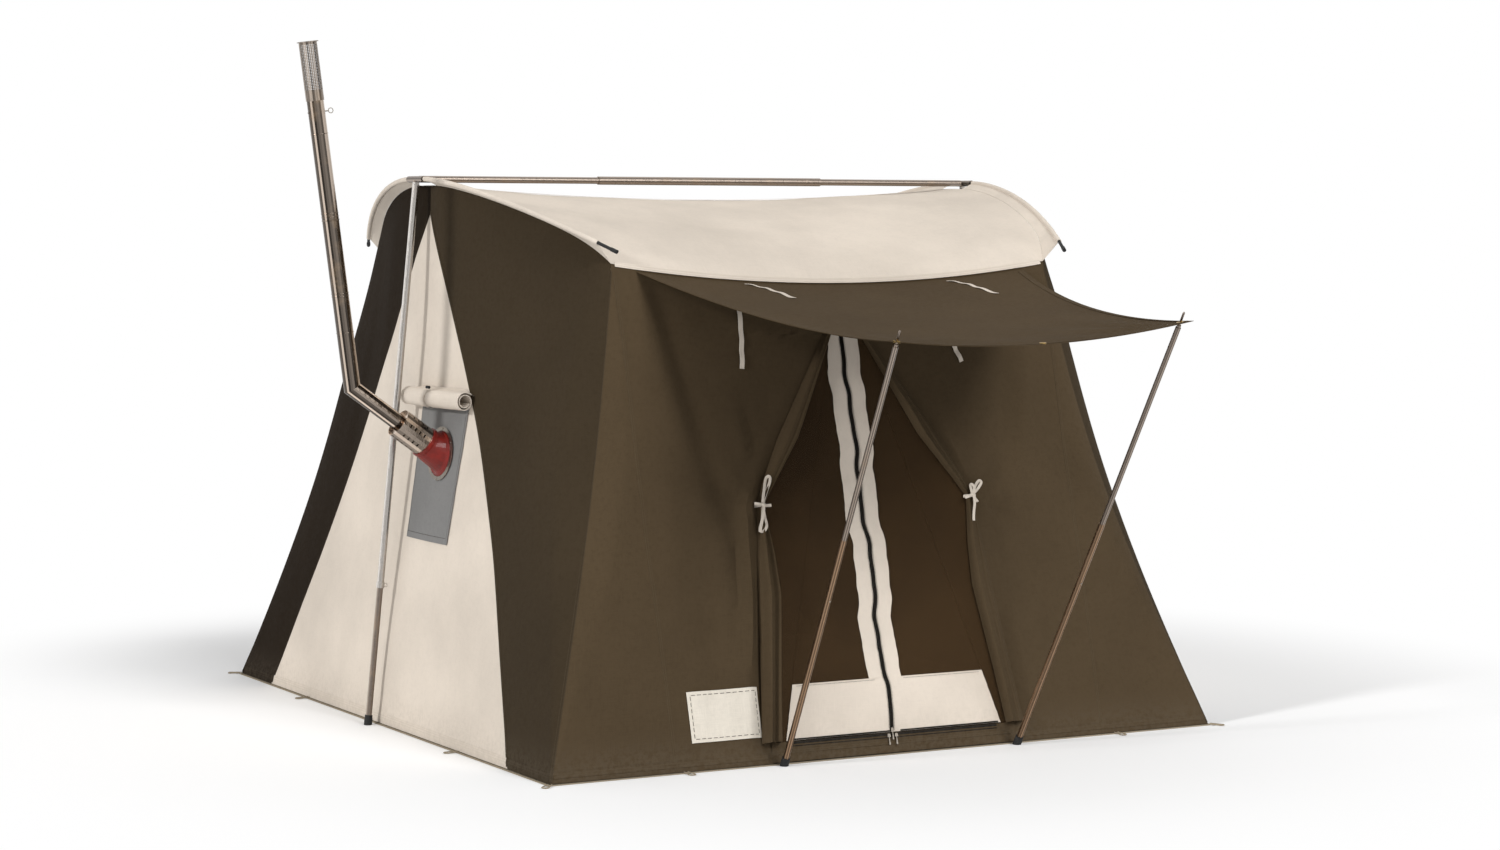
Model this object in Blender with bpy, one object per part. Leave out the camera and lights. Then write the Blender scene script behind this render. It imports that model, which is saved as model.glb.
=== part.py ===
"""Ridge-framed canvas hot tent with an outside frame, an awning and a stove pipe.

Metres, +Z up. X runs along the ridge, the door faces -Y, and the origin is on the
ground under the middle of the floor. The stove pipe leaves the gable at -X.
"""

import math

import bmesh
import bpy
from mathutils import Vector
from mathutils.bvhtree import BVHTree

# Cabin
FLOOR_LENGTH = 2.684
FLOOR_DEPTH = 2.914
FLOOR_THICKNESS = 0.004
EAVE_HALF = 0.894
EAVE_DEPTH = 1.007
EAVE_HEIGHT = 1.705
EAVE_SAG = 0.065
SEAM_RIDGE_INSET = 0.057
SEAM_RIDGE_DROP = 0.022
SEAM_INSET = 0.041
SEAM_DROP = 0.0235
SEAM_TURN_POWER = 10
SEAM_END_POWER = 14
RIDGE_SAG = 0.050
CORNER_RADIUS = 0.165
CORNER_POWER = 1.1
CLOTH = 0.003
GAP = 0.0003
SEAM_GAP = 0.00025
CREAM_BASE_HALF = 1.122
CREAM_DROP = 0.115
CREAM_BOW = 0.045
GABLE_DRAW = 0.034
GABLE_DRAW_POWER = 1.8
FOLD_DEPTH = 0.007
GABLE_FOLD_DEPTH = 0.008
WALL_FOLDS = 3
GABLE_FOLDS = 4

# Outside frame
RIDGE_HALF = 1.187
RIDGE_HEIGHT = 2.0
RIDGE_TUBE_RADIUS = 0.0125
RIDGE_TUBE_WALL = 0.0012
RIDGE_TUBE_OVERLAP = 0.129
RIDGE_SLEEVE_RADIUS = 0.0156
RIDGE_SLEEVE_WALL = 0.0014
RIDGE_SLEEVE_LENGTH = 0.968
RIDGE_SLEEVE_OFFSET = 0.038
TEE_RADIUS = 0.0115
TEE_HALF = 0.0675
TEE_FIT = 0.0004
TEE_STUB_LENGTH = 0.070
ROD_RADIUS = 0.006
ROD_FIT = 0.0011
ROD_SLEEVE_PAST = 0.020
ROD_END_WIDTH = 0.060
ROD_END_RISE = 0.072
ROD_BOW_POWER = 1.6
ROD_TIP_LENGTH = 0.082
ROD_CAP_LENGTH = 0.026
ROD_CAP_RADIUS = 0.0075
SLEEVE_CLOTH = 0.002
SLEEVE_LIFT = 0.0006
SLEEVE_WRAP_DEG = 318
SIDE_FOOT_CLEARANCE = 0.046
SIDE_OUTER_RADIUS = 0.0127
SIDE_INNER_RADIUS = 0.0112
TUBE_WALL = 0.0012
TUBE_FIT = 0.0003
SIDE_JOINT_HEIGHT = 0.503
SIDE_OVERLAP = 0.350
COLLAR_LENGTH = 0.022
COLLAR_RADIUS = 0.0152
EYELET_RADIUS = 0.0065
EYELET_WIRE = 0.0014
FOOT_HEIGHT = 0.036
FOOT_RADIUS = 0.0150
FOOT_SPIGOT = 0.020

# Awning
AWNING_HALF = 0.800
AWNING_DROP = 0.016
AWNING_POST_HALF = 0.549
AWNING_FOOT_OUT = 0.030
AWNING_FOOT_DEPTH = FLOOR_DEPTH / 2 + AWNING_FOOT_OUT
AWNING_LEAN = 0.836
AWNING_REACH = AWNING_FOOT_DEPTH + AWNING_LEAN
AWNING_LEFT_HEIGHT = 1.481
AWNING_RIGHT_HEIGHT = 1.529
AWNING_FRONT_SAG = 0.043
AWNING_SIDE_SAG = 0.050
AWNING_SIDE_SCOOP = 0.045
AWNING_MID_SAG = 0.025
AWNING_HEM_WIDTH = 0.036
AWNING_HEM_DEPTH = 0.026
GROMMET_BORE = 0.0075
GROMMET_FLANGE = 0.0130
GROMMET_SHEET = 0.0010
GROMMET_FIT = 0.0005
AWNING_COLUMNS = 14
AWNING_ROWS = 10
AWNING_FOOT_HALF = 0.475
POST_OUTER_RADIUS = 0.0110
POST_INNER_RADIUS = 0.0095
POST_JOINT = 0.940
POST_OVERLAP = 0.170
POST_BUTTON = 0.700
BUTTON_RADIUS = 0.0030
BUTTON_PROUD = 0.0035
FERRULE_RADIUS = 0.0070
FERRULE_LENGTH = 0.009
SPINDLE_RADIUS = 0.0040
SPINDLE_LENGTH = 0.042

# Door
SILL_HEIGHT = 0.072
DOOR_TOP = 1.450
DOOR_TOP_HALF = 0.060
DOOR_FOOT_HALF = 0.440
FLAP_FOOT_HALF = 0.536
LEAF_CLEARANCE = 0.003
BAND_HALF = 0.067
BAND_WAVE = 0.009
BAND_WAVES = 3
ZIP_OFFSET = -0.016
ZIP_GAP = 0.004
KICK_TOP = 0.260
MESH_THICKNESS = 0.002
BAND_THICKNESS = 0.003
FLAP_LIFT = 0.038
FLAP_FOLD = 0.008
SLIDER_WIDTH = 0.011
SLIDER_LENGTH = 0.014
SLIDER_DEPTH = 0.006
PULL_LENGTH = 0.026
PULL_WIDTH = 0.006
PULL_DEPTH = 0.002
SLIDER_PITCH = 0.015

# Stove jack
PIPE_PLANE = -0.270
PIPE_HEIGHT = 1.006
PIPE_RISE_DEG = 36.0
PIPE_LEAN_DEG = 7.5
PIPE_RADIUS = 0.0300
PIPE_WALL = 0.0012
PIPE_INSIDE_LENGTH = 0.150
PIPE_OUT_LENGTH = 0.425
PIPE_SPIGOT = 0.030
BEAD_HEIGHT = 0.0018
BEAD_LENGTH = 0.005
ELBOW_LOWER = 0.120
ELBOW_UPPER = 0.190
UPPER_LENGTH = 1.052
UPPER_JOINT = 0.600
ARRESTOR_HEIGHT = 0.205
ARRESTOR_SOCKET = 0.030
ARRESTOR_FIT = 0.0006
ARRESTOR_WALL = 0.0014
ARRESTOR_COLUMNS = 9
ARRESTOR_ROWS = 5
CAP_RADIUS = 0.038
CAP_THICKNESS = 0.004
DAMPER_FROM_TOP = 0.070
DAMPER_PLATE_RADIUS = 0.0268
DAMPER_PLATE = 0.002
DAMPER_SHAFT = 0.0022
DAMPER_REACH = 0.046
DAMPER_RING = 0.009
DAMPER_WIRE = 0.0016
GUARD_RADIUS = 0.054
GUARD_WALL = 0.0014
GUARD_INSIDE_LENGTH = 0.050
GUARD_OUT_LENGTH = 0.208
GUARD_RECESS = 0.012
VENT_COLUMNS = 8
VENT_ROWS = 4
VENT_LENGTH = 0.0125
VENT_WIDTH = 0.006
VENT_PITCH = 0.021
VENT_FROM_END = 0.030
WALL_HOLE_FIT = 0.004
BOOT_FLANGE_RADIUS = 0.095
BOOT_BASE_RADIUS = 0.0825
BOOT_DOME_RADIUS = 0.0770
BOOT_STEP_RADIUS = 0.0738
BOOT_NECK_RADIUS = 0.0706
BOOT_SHEET = 0.0025
BOOT_LOW_HEIGHT = 0.0060
BOOT_DOME_HEIGHT = 0.0115
BOOT_GROOVE_HEIGHT = 0.0105
BOOT_HIGH_HEIGHT = 0.0145
BOOT_COLLAR_START = 0.061
BOOT_COLLAR_LENGTH = 0.024
RING_INNER_RADIUS = 0.0840
RING_OUTER_RADIUS = 0.0985
RING_SHEET = 0.0016
SCREW_RADIUS = 0.0035
SCREW_HEIGHT = 0.0022
RING_SCREWS = 6
JACK_RISE = 0.176
JACK_DROP = 0.313
JACK_BACK_WIDTH = 0.222
JACK_TOP_WIDTH = 0.160
JACK_FOOT_WIDTH = 0.138
JACK_SHEET = 0.0016
JACK_LIFT = 0.0016
ROLL_RISE = 0.195
ROLL_BACK_WIDTH = 0.295
ROLL_FRONT_WIDTH = 0.186
ROLL_RADIUS = 0.035
ROLL_LIFT = 0.0019
ROLL_PITCH = 0.0085
ROLL_CLOTH = 0.004
ROLL_TURNS = 1.75
ROLL_TAIL = 0.012

# Stake webbing
TAPE_WIDTH = 0.012
TAPE_THICKNESS = 0.0025
LOOP_REACH = 0.048
LOOP_WIDTH = 0.024
LOOP_CORD = 0.0022
LOOP_SIDE_DEPTH = 0.713
LOOP_FRONT_LEFT = 0.837
LOOP_FRONT_RIGHT = 0.928

# Finish of the meshes
ROUND = 16
PIPE_ROUND = 24
SMALL_ROUND = 10
ROD_ROUND = 8
OVERRUN = 0.010
AUTO_SMOOTH_DEG = 35
SEAM_SHARES = (0.20, 0.38, 0.56, 0.72, 0.85, 0.93, 0.975, 1.0)
WALL_SHARES = (0.20, 0.42, 0.62, 0.80, 0.92, 0.97, 1.0)

# The tied door flap from the door's top to its sill: heights as shares of the door's height,
# and its inner and outer edges as shares of its half-width at the foot.
FLAP_HEIGHT_SHARES = (1.0, 0.740, 0.623, 0.5755, 0.459, 0.354, 0.140, 0.0)
FLAP_INNER_SHARES = (0.112, 0.466, 0.694, 0.780, 0.744, 0.735, 0.813, 0.858)
FLAP_OUTER_SHARES = (0.164, 0.612, 0.778, 0.828, 0.873, 0.896, 0.955, 1.0)
FLAP_RING_SHARES = (
    0.9998, 0.913, 0.826, 0.740, 0.673, 0.623, 0.594, 0.5755,
    0.557, 0.521, 0.459, 0.354, 0.2525, 0.140, 0.064, 0.0,
)
WALL_RING_SHARES = (0.8476, 0.740, 0.623, 0.5755, 0.459, 0.354, 0.238, 0.140, 0.0)
TIE_SHARE = 0.5755

COLOURS = {
    "olive canvas": ((0.085, 0.065, 0.038), 0.90, 0.0),
    "cream canvas": ((0.80, 0.73, 0.62), 0.90, 0.0),
    "grey panel": ((0.21, 0.22, 0.23), 0.85, 0.0),
    "mesh": ((0.040, 0.024, 0.012), 0.95, 0.0),
    "webbing": ((0.42, 0.36, 0.26), 0.90, 0.0),
    "steel tube": ((0.42, 0.38, 0.35), 0.35, 1.0),
    "stainless": ((0.60, 0.57, 0.53), 0.22, 1.0),
    "silicone": ((0.42, 0.018, 0.008), 0.40, 0.0),
    "rubber": ((0.012, 0.012, 0.012), 0.75, 0.0),
    "brass": ((0.62, 0.42, 0.14), 0.35, 1.0),
    "floor cloth": ((0.10, 0.10, 0.09), 0.80, 0.0),
}

WALL_SLOPE = (FLOOR_DEPTH / 2 - EAVE_DEPTH) / EAVE_HEIGHT
BASE_Z = FLOOR_THICKNESS + GAP
CREAM_TOP = RIDGE_HEIGHT - CREAM_DROP
ROD_SLEEVE_END = EAVE_DEPTH + ROD_SLEEVE_PAST
ROD_END_HALF = EAVE_HALF + ROD_END_WIDTH
ROD_END_HEIGHT = EAVE_HEIGHT + ROD_END_RISE
SIDE_FOOT_HALF = FLOOR_LENGTH / 2 + SIDE_FOOT_CLEARANCE
DOOR_HEIGHT = DOOR_TOP - SILL_HEIGHT
TIE_HEIGHT = SILL_HEIGHT + DOOR_HEIGHT * TIE_SHARE
JACK_TOP = PIPE_HEIGHT + JACK_RISE
JACK_FOOT = PIPE_HEIGHT - JACK_DROP
ROLL_HEIGHT = PIPE_HEIGHT + ROLL_RISE
BOOT_COLLAR_END = BOOT_COLLAR_START + BOOT_COLLAR_LENGTH
CORNER_SHARE = 1 - math.sqrt(0.5)


def clear_scene():
    for item in list(bpy.data.objects):
        bpy.data.objects.remove(item, do_unlink=True)


def finish(name):
    """The material of a name, made once."""
    found = bpy.data.materials.get(name)
    if found:
        return found
    colour, roughness, metallic = COLOURS[name]
    made = bpy.data.materials.new(name)
    made.use_nodes = True
    shader = made.node_tree.nodes["Principled BSDF"]
    shader.inputs["Base Color"].default_value = (*colour, 1)
    shader.inputs["Roughness"].default_value = roughness
    shader.inputs["Metallic"].default_value = metallic
    return made


def solid(name, points, faces, material, pivot=None, smooth=True):
    """An object from points and faces, with its origin at the pivot."""
    origin = Vector(pivot) if pivot is not None else Vector()
    mesh = bpy.data.meshes.new(name)
    mesh.from_pydata([Vector(p) - origin for p in points], [], faces)
    work = bmesh.new()
    work.from_mesh(mesh)
    bmesh.ops.triangulate(work, faces=work.faces)
    bmesh.ops.recalc_face_normals(work, faces=work.faces)
    work.to_mesh(mesh)
    work.free()
    if smooth:
        mesh.shade_smooth()
        mesh.set_sharp_from_angle(angle=math.radians(AUTO_SMOOTH_DEG))
    mesh.materials.append(finish(material))
    made = bpy.data.objects.new(name, mesh)
    made.location = origin
    bpy.context.collection.objects.link(made)
    return made


def combine(target, tool, operation):
    """Cuts or joins with a Boolean, and drops the tool."""
    step = target.modifiers.new(operation.lower(), "BOOLEAN")
    step.operation = operation
    step.solver = "EXACT"
    step.object = tool
    bpy.context.view_layer.update()
    graph = bpy.context.evaluated_depsgraph_get()
    result = bpy.data.meshes.new_from_object(target.evaluated_get(graph))
    target.modifiers.clear()
    old = target.data
    target.data = result
    result.name = old.name
    bpy.data.meshes.remove(old)
    bpy.data.objects.remove(tool, do_unlink=True)
    return target


def carry(parent, *children):
    """Parents moving pieces to the piece that carries them, where they stand."""
    bpy.context.view_layer.update()
    for child in children:
        child.parent = parent
        child.matrix_parent_inverse = parent.matrix_world.inverted()


def blend(a, b, share):
    return a + (b - a) * share


def frame_of(axis):
    """Two unit vectors square to an axis."""
    axis = Vector(axis).normalized()
    helper = Vector((0, 1, 0)) if abs(axis.y) < abs(axis.z) else Vector((0, 0, 1))
    first = axis.cross(helper).normalized()
    return first, axis.cross(first)


def ring(centre, axis, radius, sides, turn=0.0):
    first, second = frame_of(axis)
    points = []
    for k in range(sides):
        angle = 2 * math.pi * k / sides + turn
        points.append(centre + first * (radius * math.cos(angle)) + second * (radius * math.sin(angle)))
    return points


def band(start_a, start_b, count):
    """Faces between two rings of the same count."""
    faces = []
    for k in range(count):
        n = (k + 1) % count
        faces.append((start_a + k, start_a + n, start_b + n, start_b + k))
    return faces


def lofted(name, rings, material, pivot=None, closed=False):
    """A skin over rings of equal count: closed like a tyre, or capped at both ends."""
    count = len(rings[0])
    points = [p for one in rings for p in one]
    faces = []
    steps = len(rings) if closed else len(rings) - 1
    for k in range(steps):
        faces += band(k * count, ((k + 1) % len(rings)) * count, count)
    if not closed:
        faces.append(tuple(range(count)))
        faces.append(tuple(range((len(rings) - 1) * count, len(rings) * count)))
    return solid(name, points, faces, material, pivot)


def turned(name, profile, origin, axis, material, sides=ROUND, pivot=None):
    """A closed profile of (radius, along) points turned round an axis."""
    origin = Vector(origin)
    axis = Vector(axis).normalized()
    points, starts = [], []
    for radius, along in profile:
        starts.append((len(points), radius > 0))
        centre = origin + axis * along
        points += ring(centre, axis, radius, sides) if radius > 0 else [centre]
    faces = []
    for k, (start, wide) in enumerate(starts):
        after, after_wide = starts[(k + 1) % len(starts)]
        if wide and after_wide:
            faces += band(start, after, sides)
        elif wide or after_wide:
            tip, base = (after, start) if wide else (start, after)
            faces += [(base + j, base + (j + 1) % sides, tip) for j in range(sides)]
    return solid(name, points, faces, material, pivot)


def tube_profile(outer, wall, start, end):
    return [(outer - wall, start), (outer, start), (outer, end), (outer - wall, end)]


def rod_cutter(origin, axis, radius, start, end, sides=ROUND):
    profile = [(0, start), (radius, start), (radius, end), (0, end)]
    return turned("cutter", profile, origin, axis, "rubber", sides)


def swept(name, path, radii, sides, material, pivot=None):
    """A round bar along a path, with its own radius at each point."""
    rings = []
    for k, point in enumerate(path):
        ahead = path[min(k + 1, len(path) - 1)] - path[max(k - 1, 0)]
        rings.append(ring(point, ahead, radii[k], sides))
    return lofted(name, rings, material, pivot)


def sheet(name, outer, inner, material, pivot=None):
    """A closed cloth solid from two grids of points, row by row."""
    rows, cols = len(outer), len(outer[0])
    points = [p for row in outer for p in row] + [p for row in inner for p in row]
    half = rows * cols
    faces = []
    for r in range(rows - 1):
        for c in range(cols - 1):
            a = r * cols + c
            faces.append((a, a + 1, a + cols + 1, a + cols))
            faces.append((half + a + cols, half + a + cols + 1, half + a + 1, half + a))
    border = [c for c in range(cols)]
    border += [r * cols + cols - 1 for r in range(1, rows)]
    border += [(rows - 1) * cols + c for c in range(cols - 2, -1, -1)]
    border += [r * cols for r in range(rows - 2, 0, -1)]
    for k, a in enumerate(border):
        b = border[(k + 1) % len(border)]
        faces.append((a, b, half + b, half + a))
    return solid(name, points, faces, material, pivot)


def spaced(start, end, count):
    return [start + (end - start) * k / (count - 1) for k in range(count)]


def mirrored(shares):
    """Shares from one end to the other, with zero in the middle."""
    return [-k for k in reversed(shares)] + [0.0] + list(shares)


def polyline(table, height):
    """The value at a height in a table of (height, value) points, top first."""
    if height >= table[0][0]:
        return table[0][1]
    for (z1, x1), (z0, x0) in zip(table, table[1:]):
        if height >= z0:
            return x0 + (x1 - x0) * (height - z0) / (z1 - z0)
    return table[-1][1]


# The cabin's skin. Every panel is read from these surfaces, at the outer face for an inset of
# zero and at the inner face for an inset of one cloth, so that neighbours are mitred alike.

def depth_inset(inset):
    return inset * (1 - WALL_SLOPE)


def eave_height(s, inset=0.0):
    return EAVE_HEIGHT - EAVE_SAG * (1 - s * s) - inset


def eave_depth(s, inset=0.0):
    return FLOOR_DEPTH / 2 - WALL_SLOPE * eave_height(s) - depth_inset(inset)


def rod_point(side, y):
    """The spring rod's centre line: straight in its tee, then bowed down to the eave."""
    u = max(0.0, abs(y) - TEE_HALF) / (ROD_SLEEVE_END - TEE_HALF)
    x = RIDGE_HALF - (RIDGE_HALF - ROD_END_HALF) * u ** ROD_BOW_POWER
    z = RIDGE_HEIGHT - (RIDGE_HEIGHT - ROD_END_HEIGHT) * u ** ROD_BOW_POWER
    return Vector((side * x, y, z))


def seam_point(side, t, inset=0.0):
    """The curve where a gable meets the roof: close under the rod, and away from it at the ends."""
    a = abs(t)
    near, far = (1 - a) ** SEAM_TURN_POWER, a ** SEAM_END_POWER
    rod = rod_point(1, a * ROD_SLEEVE_END)
    aside = SEAM_INSET + (SEAM_RIDGE_INSET - SEAM_INSET) * near + (ROD_END_WIDTH - SEAM_INSET) * far
    below = SEAM_DROP + (SEAM_RIDGE_DROP - SEAM_DROP) * near + (ROD_END_RISE - SEAM_DROP) * far
    depth = t * (EAVE_DEPTH - depth_inset(inset))
    return Vector((side * (rod.x - aside - inset), depth, rod.z - below - inset))


def seam_shares():
    """Shares of the way from the ridge to the eave at which all the seam's neighbours bend."""
    return [0.0, (TEE_HALF + ROD_CAP_RADIUS) / ROD_SLEEVE_END] + list(SEAM_SHARES)


def softened(along, half, v):
    """A panel's place along its base near a corner, and how far the soft corner draws it in."""
    radius = CORNER_RADIUS * math.sin(math.pi * v ** CORNER_POWER)
    edge = half - abs(along)
    if edge >= radius:
        return along, 0.0
    edge += CORNER_SHARE * (radius - edge)
    drawn = radius - math.sqrt(radius ** 2 - (radius - edge) ** 2)
    return math.copysign(half - edge, along), drawn


def gable_point(side, t, v, inset=0.0):
    """A gable's point: t goes from the front corner to the back one, v from the base up."""
    foot = Vector((
        side * (FLOOR_LENGTH / 2 - inset),
        t * (FLOOR_DEPTH / 2 - inset - WALL_SLOPE * BASE_Z),
        BASE_Z,
    ))
    point = foot.lerp(seam_point(side, t, inset), v)
    half = blend(FLOOR_DEPTH / 2 - inset - WALL_SLOPE * BASE_Z, EAVE_DEPTH - depth_inset(inset), v)
    point.y, drawn = softened(point.y, half, v)
    drawn += GABLE_DRAW * math.sin(math.pi * v ** GABLE_DRAW_POWER) * (1 - t * t)
    edge = (1 - t * t) * math.sin(math.pi * v)
    drawn += GABLE_FOLD_DEPTH * edge * (1 + math.cos(GABLE_FOLDS * math.pi * t)) / 2
    point.x -= side * drawn
    return point


def gable_place(y, z):
    """The t and v of a gable's point at a depth and a height."""
    t, v = 0.0, 0.5
    for _ in range(12):
        top = seam_point(1, t).z
        v = (z - BASE_Z) / (top - BASE_Z)
        t = y / blend(FLOOR_DEPTH / 2, EAVE_DEPTH, v)
    return t, v


def gable_normal(side, y, z):
    t, v = gable_place(y, z)
    step = 0.01
    along = gable_point(side, t + step, v) - gable_point(side, t - step, v)
    up = gable_point(side, t, v + step) - gable_point(side, t, v - step)
    normal = along.cross(up).normalized()
    return normal if normal.x * side > 0 else -normal


def on_gable(side, y, z, lift):
    t, v = gable_place(y, z)
    return gable_point(side, t, v) + gable_normal(side, y, z) * lift


def cream_edge(v):
    """The t at which the cream triangle ends, at a share v of the height."""
    t = 0.0
    for _ in range(8):
        z = BASE_Z + (seam_point(1, t).z - BASE_Z) * v
        rise = min(1.0, z / CREAM_TOP)
        y = CREAM_BASE_HALF * (1 - rise) + CREAM_BOW * math.sin(math.pi * rise)
        t = max(0.0, y) / blend(FLOOR_DEPTH / 2, EAVE_DEPTH, v)
    return t


def wall_point(face, s, v, inset=0.0):
    """A front (-1) or back (+1) wall's point: s across, v up."""
    half = blend(FLOOR_LENGTH / 2 - inset, EAVE_HALF - inset, v)
    z = BASE_Z + (eave_height(s, inset) - BASE_Z) * v
    y = FLOOR_DEPTH / 2 - inset - WALL_SLOPE * z
    clear = max(0.0, abs(s) * half - DOOR_FOOT_HALF) / (half - DOOR_FOOT_HALF)
    calm = (math.sin(math.pi * v) * math.sin(math.pi * min(1.0, clear))) ** 2
    y -= FOLD_DEPTH * calm * (1 + math.cos(2 * math.pi * WALL_FOLDS * clear)) / 2
    x, drawn = softened(s * half, half, v)
    return Vector((x, face * (y - drawn), z))


def on_wall(x, z, lift):
    """A point over the front wall's plane, at x across and z up."""
    normal = Vector((0, -1, WALL_SLOPE)).normalized()
    return Vector((x, -(FLOOR_DEPTH / 2 - WALL_SLOPE * z), z)) + normal * lift


def roof_point(s, t, inset=0.0):
    a = abs(t)
    edge = seam_point(1, t, inset)
    sag = blend(RIDGE_SAG, EAVE_SAG, a)
    y = t * blend(EAVE_DEPTH - depth_inset(inset), eave_depth(s, inset), a)
    return Vector((s * edge.x, y, edge.z - sag * (1 - s * s)))


def grid_panel(name, rows, surface, material):
    """A cloth panel whose rows are lists of surface places, outer and inner face."""
    outer = [[surface(*place, 0.0) for place in row] for row in rows]
    inner = [[surface(*place, CLOTH) for place in row] for row in rows]
    return sheet(name, outer, inner, material)


def make_floor():
    x, y = FLOOR_LENGTH / 2, FLOOR_DEPTH / 2
    top = [[Vector((a, b, FLOOR_THICKNESS)) for a in (-x, x)] for b in (-y, y)]
    under = [[Vector((a, b, 0)) for a in (-x, x)] for b in (-y, y)]
    sheet("floor", top, under, "floor cloth")


def loop_path(centre, outward):
    """A cord loop's path on the ground, out from the tape and back."""
    corner = outward[0] != 0 and outward[1] != 0
    outward = Vector(outward).normalized()
    across = Vector((-outward.y, outward.x, 0))
    height = Vector((0, 0, LOOP_CORD + GAP))
    root = Vector(centre) + height - outward * (TAPE_WIDTH * (1.5 if corner else 0.5))
    round_half = LOOP_WIDTH / 2
    straight = LOOP_REACH - round_half
    path = [root - across * round_half]
    for k in range(4):
        angle = math.pi * k / 3
        path.append(root + outward * (straight + round_half * math.sin(angle))
                    - across * (round_half * math.cos(angle)))
    path.append(root + across * round_half)
    return path


def make_webbing():
    """The tape round the base with its cord loops for stakes."""
    x, y = FLOOR_LENGTH / 2 + GAP, FLOOR_DEPTH / 2 + GAP
    far_x, far_y = x + TAPE_WIDTH, y + TAPE_WIDTH
    low, high = GAP, GAP + TAPE_THICKNESS
    corners = [(-1, -1), (1, -1), (1, 1), (-1, 1)]
    rings = []
    for wide, z in ((True, low), (True, high), (False, high), (False, low)):
        a, b = (far_x, far_y) if wide else (x, y)
        rings.append([Vector((sx * a, sy * b, z)) for sx, sy in corners])
    tape = lofted("ground_webbing", rings, "webbing", closed=True)
    places = [((sx * far_x, sy * far_y, 0), (sx, sy, 0)) for sx, sy in corners]
    for sx in (-1, 1):
        for sy in (-1, 1):
            places.append(((sx * far_x, sy * LOOP_SIDE_DEPTH, 0), (sx, 0, 0)))
    for sy in (-1, 1):
        places.append(((-LOOP_FRONT_LEFT, sy * far_y, 0), (0, sy, 0)))
        places.append(((LOOP_FRONT_RIGHT, sy * far_y, 0), (0, sy, 0)))
    for centre, outward in places:
        path = loop_path(centre, outward)
        loop = swept("loop", path, [LOOP_CORD] * len(path), 4, "webbing")
        combine(tape, loop, "UNION")


def make_gables():
    share = SEAM_GAP / (FLOOR_DEPTH / 2)
    top = 1 - SEAM_GAP / RIDGE_HEIGHT
    apex = (CREAM_TOP - BASE_Z) / (seam_point(1, 0).z - BASE_Z)
    heights = spaced(0, apex, 8) + [top]
    for side, word in ((-1, "left"), (1, "right")):
        def surface(t, v, inset, side=side):
            return gable_point(side, t, v, inset)
        for face, place in ((-1, "front"), (1, "back")):
            rows = []
            for v in heights:
                inner_t = max(cream_edge(v), share) + share
                rows.append([(face * blend(inner_t, 1 - share, k), v) for k in reversed(seam_shares())])
            grid_panel(f"gable_{word}_{place}", rows, surface, "olive canvas")
        rows = []
        for v in heights[:-2] + [apex * (1 - 4 * share)]:
            half = max(cream_edge(v) - share, share)
            rows.append([(t, v) for t in spaced(-half, half, 9)])
        grid_panel(f"gable_{word}_centre", rows, surface, "cream canvas")


def door_level(share):
    return SILL_HEIGHT + DOOR_HEIGHT * share


def flap_edge(shares):
    """The (height, half-width) points of one edge of the tied door flap, from the top down."""
    return [(door_level(h), FLAP_FOOT_HALF * w) for h, w in zip(FLAP_HEIGHT_SHARES, shares)]


def door_edge(z):
    """The half-width of the door opening in the wall, which the tied flap hides."""
    if z > DOOR_TOP:
        return 0.0
    inner, outer = flap_edge(FLAP_INNER_SHARES), flap_edge(FLAP_OUTER_SHARES)
    return (polyline(inner, z) + polyline(outer, z)) / 2


def crease_half(z):
    """The half-width of the line on which a door leaf folds back."""
    return blend(DOOR_FOOT_HALF, DOOR_TOP_HALF, (z - SILL_HEIGHT) / DOOR_HEIGHT)


def wall_share(x, z):
    """The s and v of the front wall's point at x across and z up."""
    s, v = 0.0, 0.5
    for _ in range(10):
        v = (z - BASE_Z) / (eave_height(s) - BASE_Z)
        s = x / blend(FLOOR_LENGTH / 2, EAVE_HALF, v)
    return s, v


def make_walls():
    share = SEAM_GAP / EAVE_HALF
    top = 1 - SEAM_GAP / EAVE_HEIGHT
    levels = [0.0] + [door_level(k) for k in reversed(WALL_RING_SHARES)] + [DOOR_TOP - GAP, DOOR_TOP + GAP]
    for side, word in ((-1, "left"), (1, "right")):
        outer, inner = [], []
        for z in levels + [EAVE_HEIGHT]:
            edge = max(door_edge(z), GAP)
            s, v = wall_share(edge, max(z, BASE_Z))
            v = min(v, top)
            places = [blend(s, 1 - share, k) for k in reversed(WALL_SHARES)] + [s]
            outer.append([wall_point(-1, side * k, v) for k in places])
            inner.append([wall_point(-1, side * k, v, CLOTH) for k in places])
            if z < EAVE_HEIGHT:
                inner[-1][-1] = on_wall(side * edge, max(z, BASE_Z + CLOTH * WALL_SLOPE), -CLOTH)
        sheet(f"front_wall_{word}", outer, inner, "olive canvas")
    rows = []
    for v in spaced(0, top, 8):
        rows.append([(s * (1 - share), v) for s in mirrored(WALL_SHARES)])
    grid_panel("back_wall", rows, lambda s, v, i: wall_point(1, s, v, i), "olive canvas")


def make_roof():
    share_s = SEAM_GAP / EAVE_HALF
    share_t = SEAM_GAP / EAVE_DEPTH
    rows = []
    for t in mirrored(seam_shares()[1:]):
        rows.append([(s * (1 - share_s), t * (1 - share_t)) for s in mirrored(WALL_SHARES)])
    grid_panel("roof", rows, roof_point, "cream canvas")


def bow_stations():
    """The depths at which a bowed rod and its sleeve bend together."""
    return [share * ROD_SLEEVE_END for share in seam_shares()[1:]]


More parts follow.
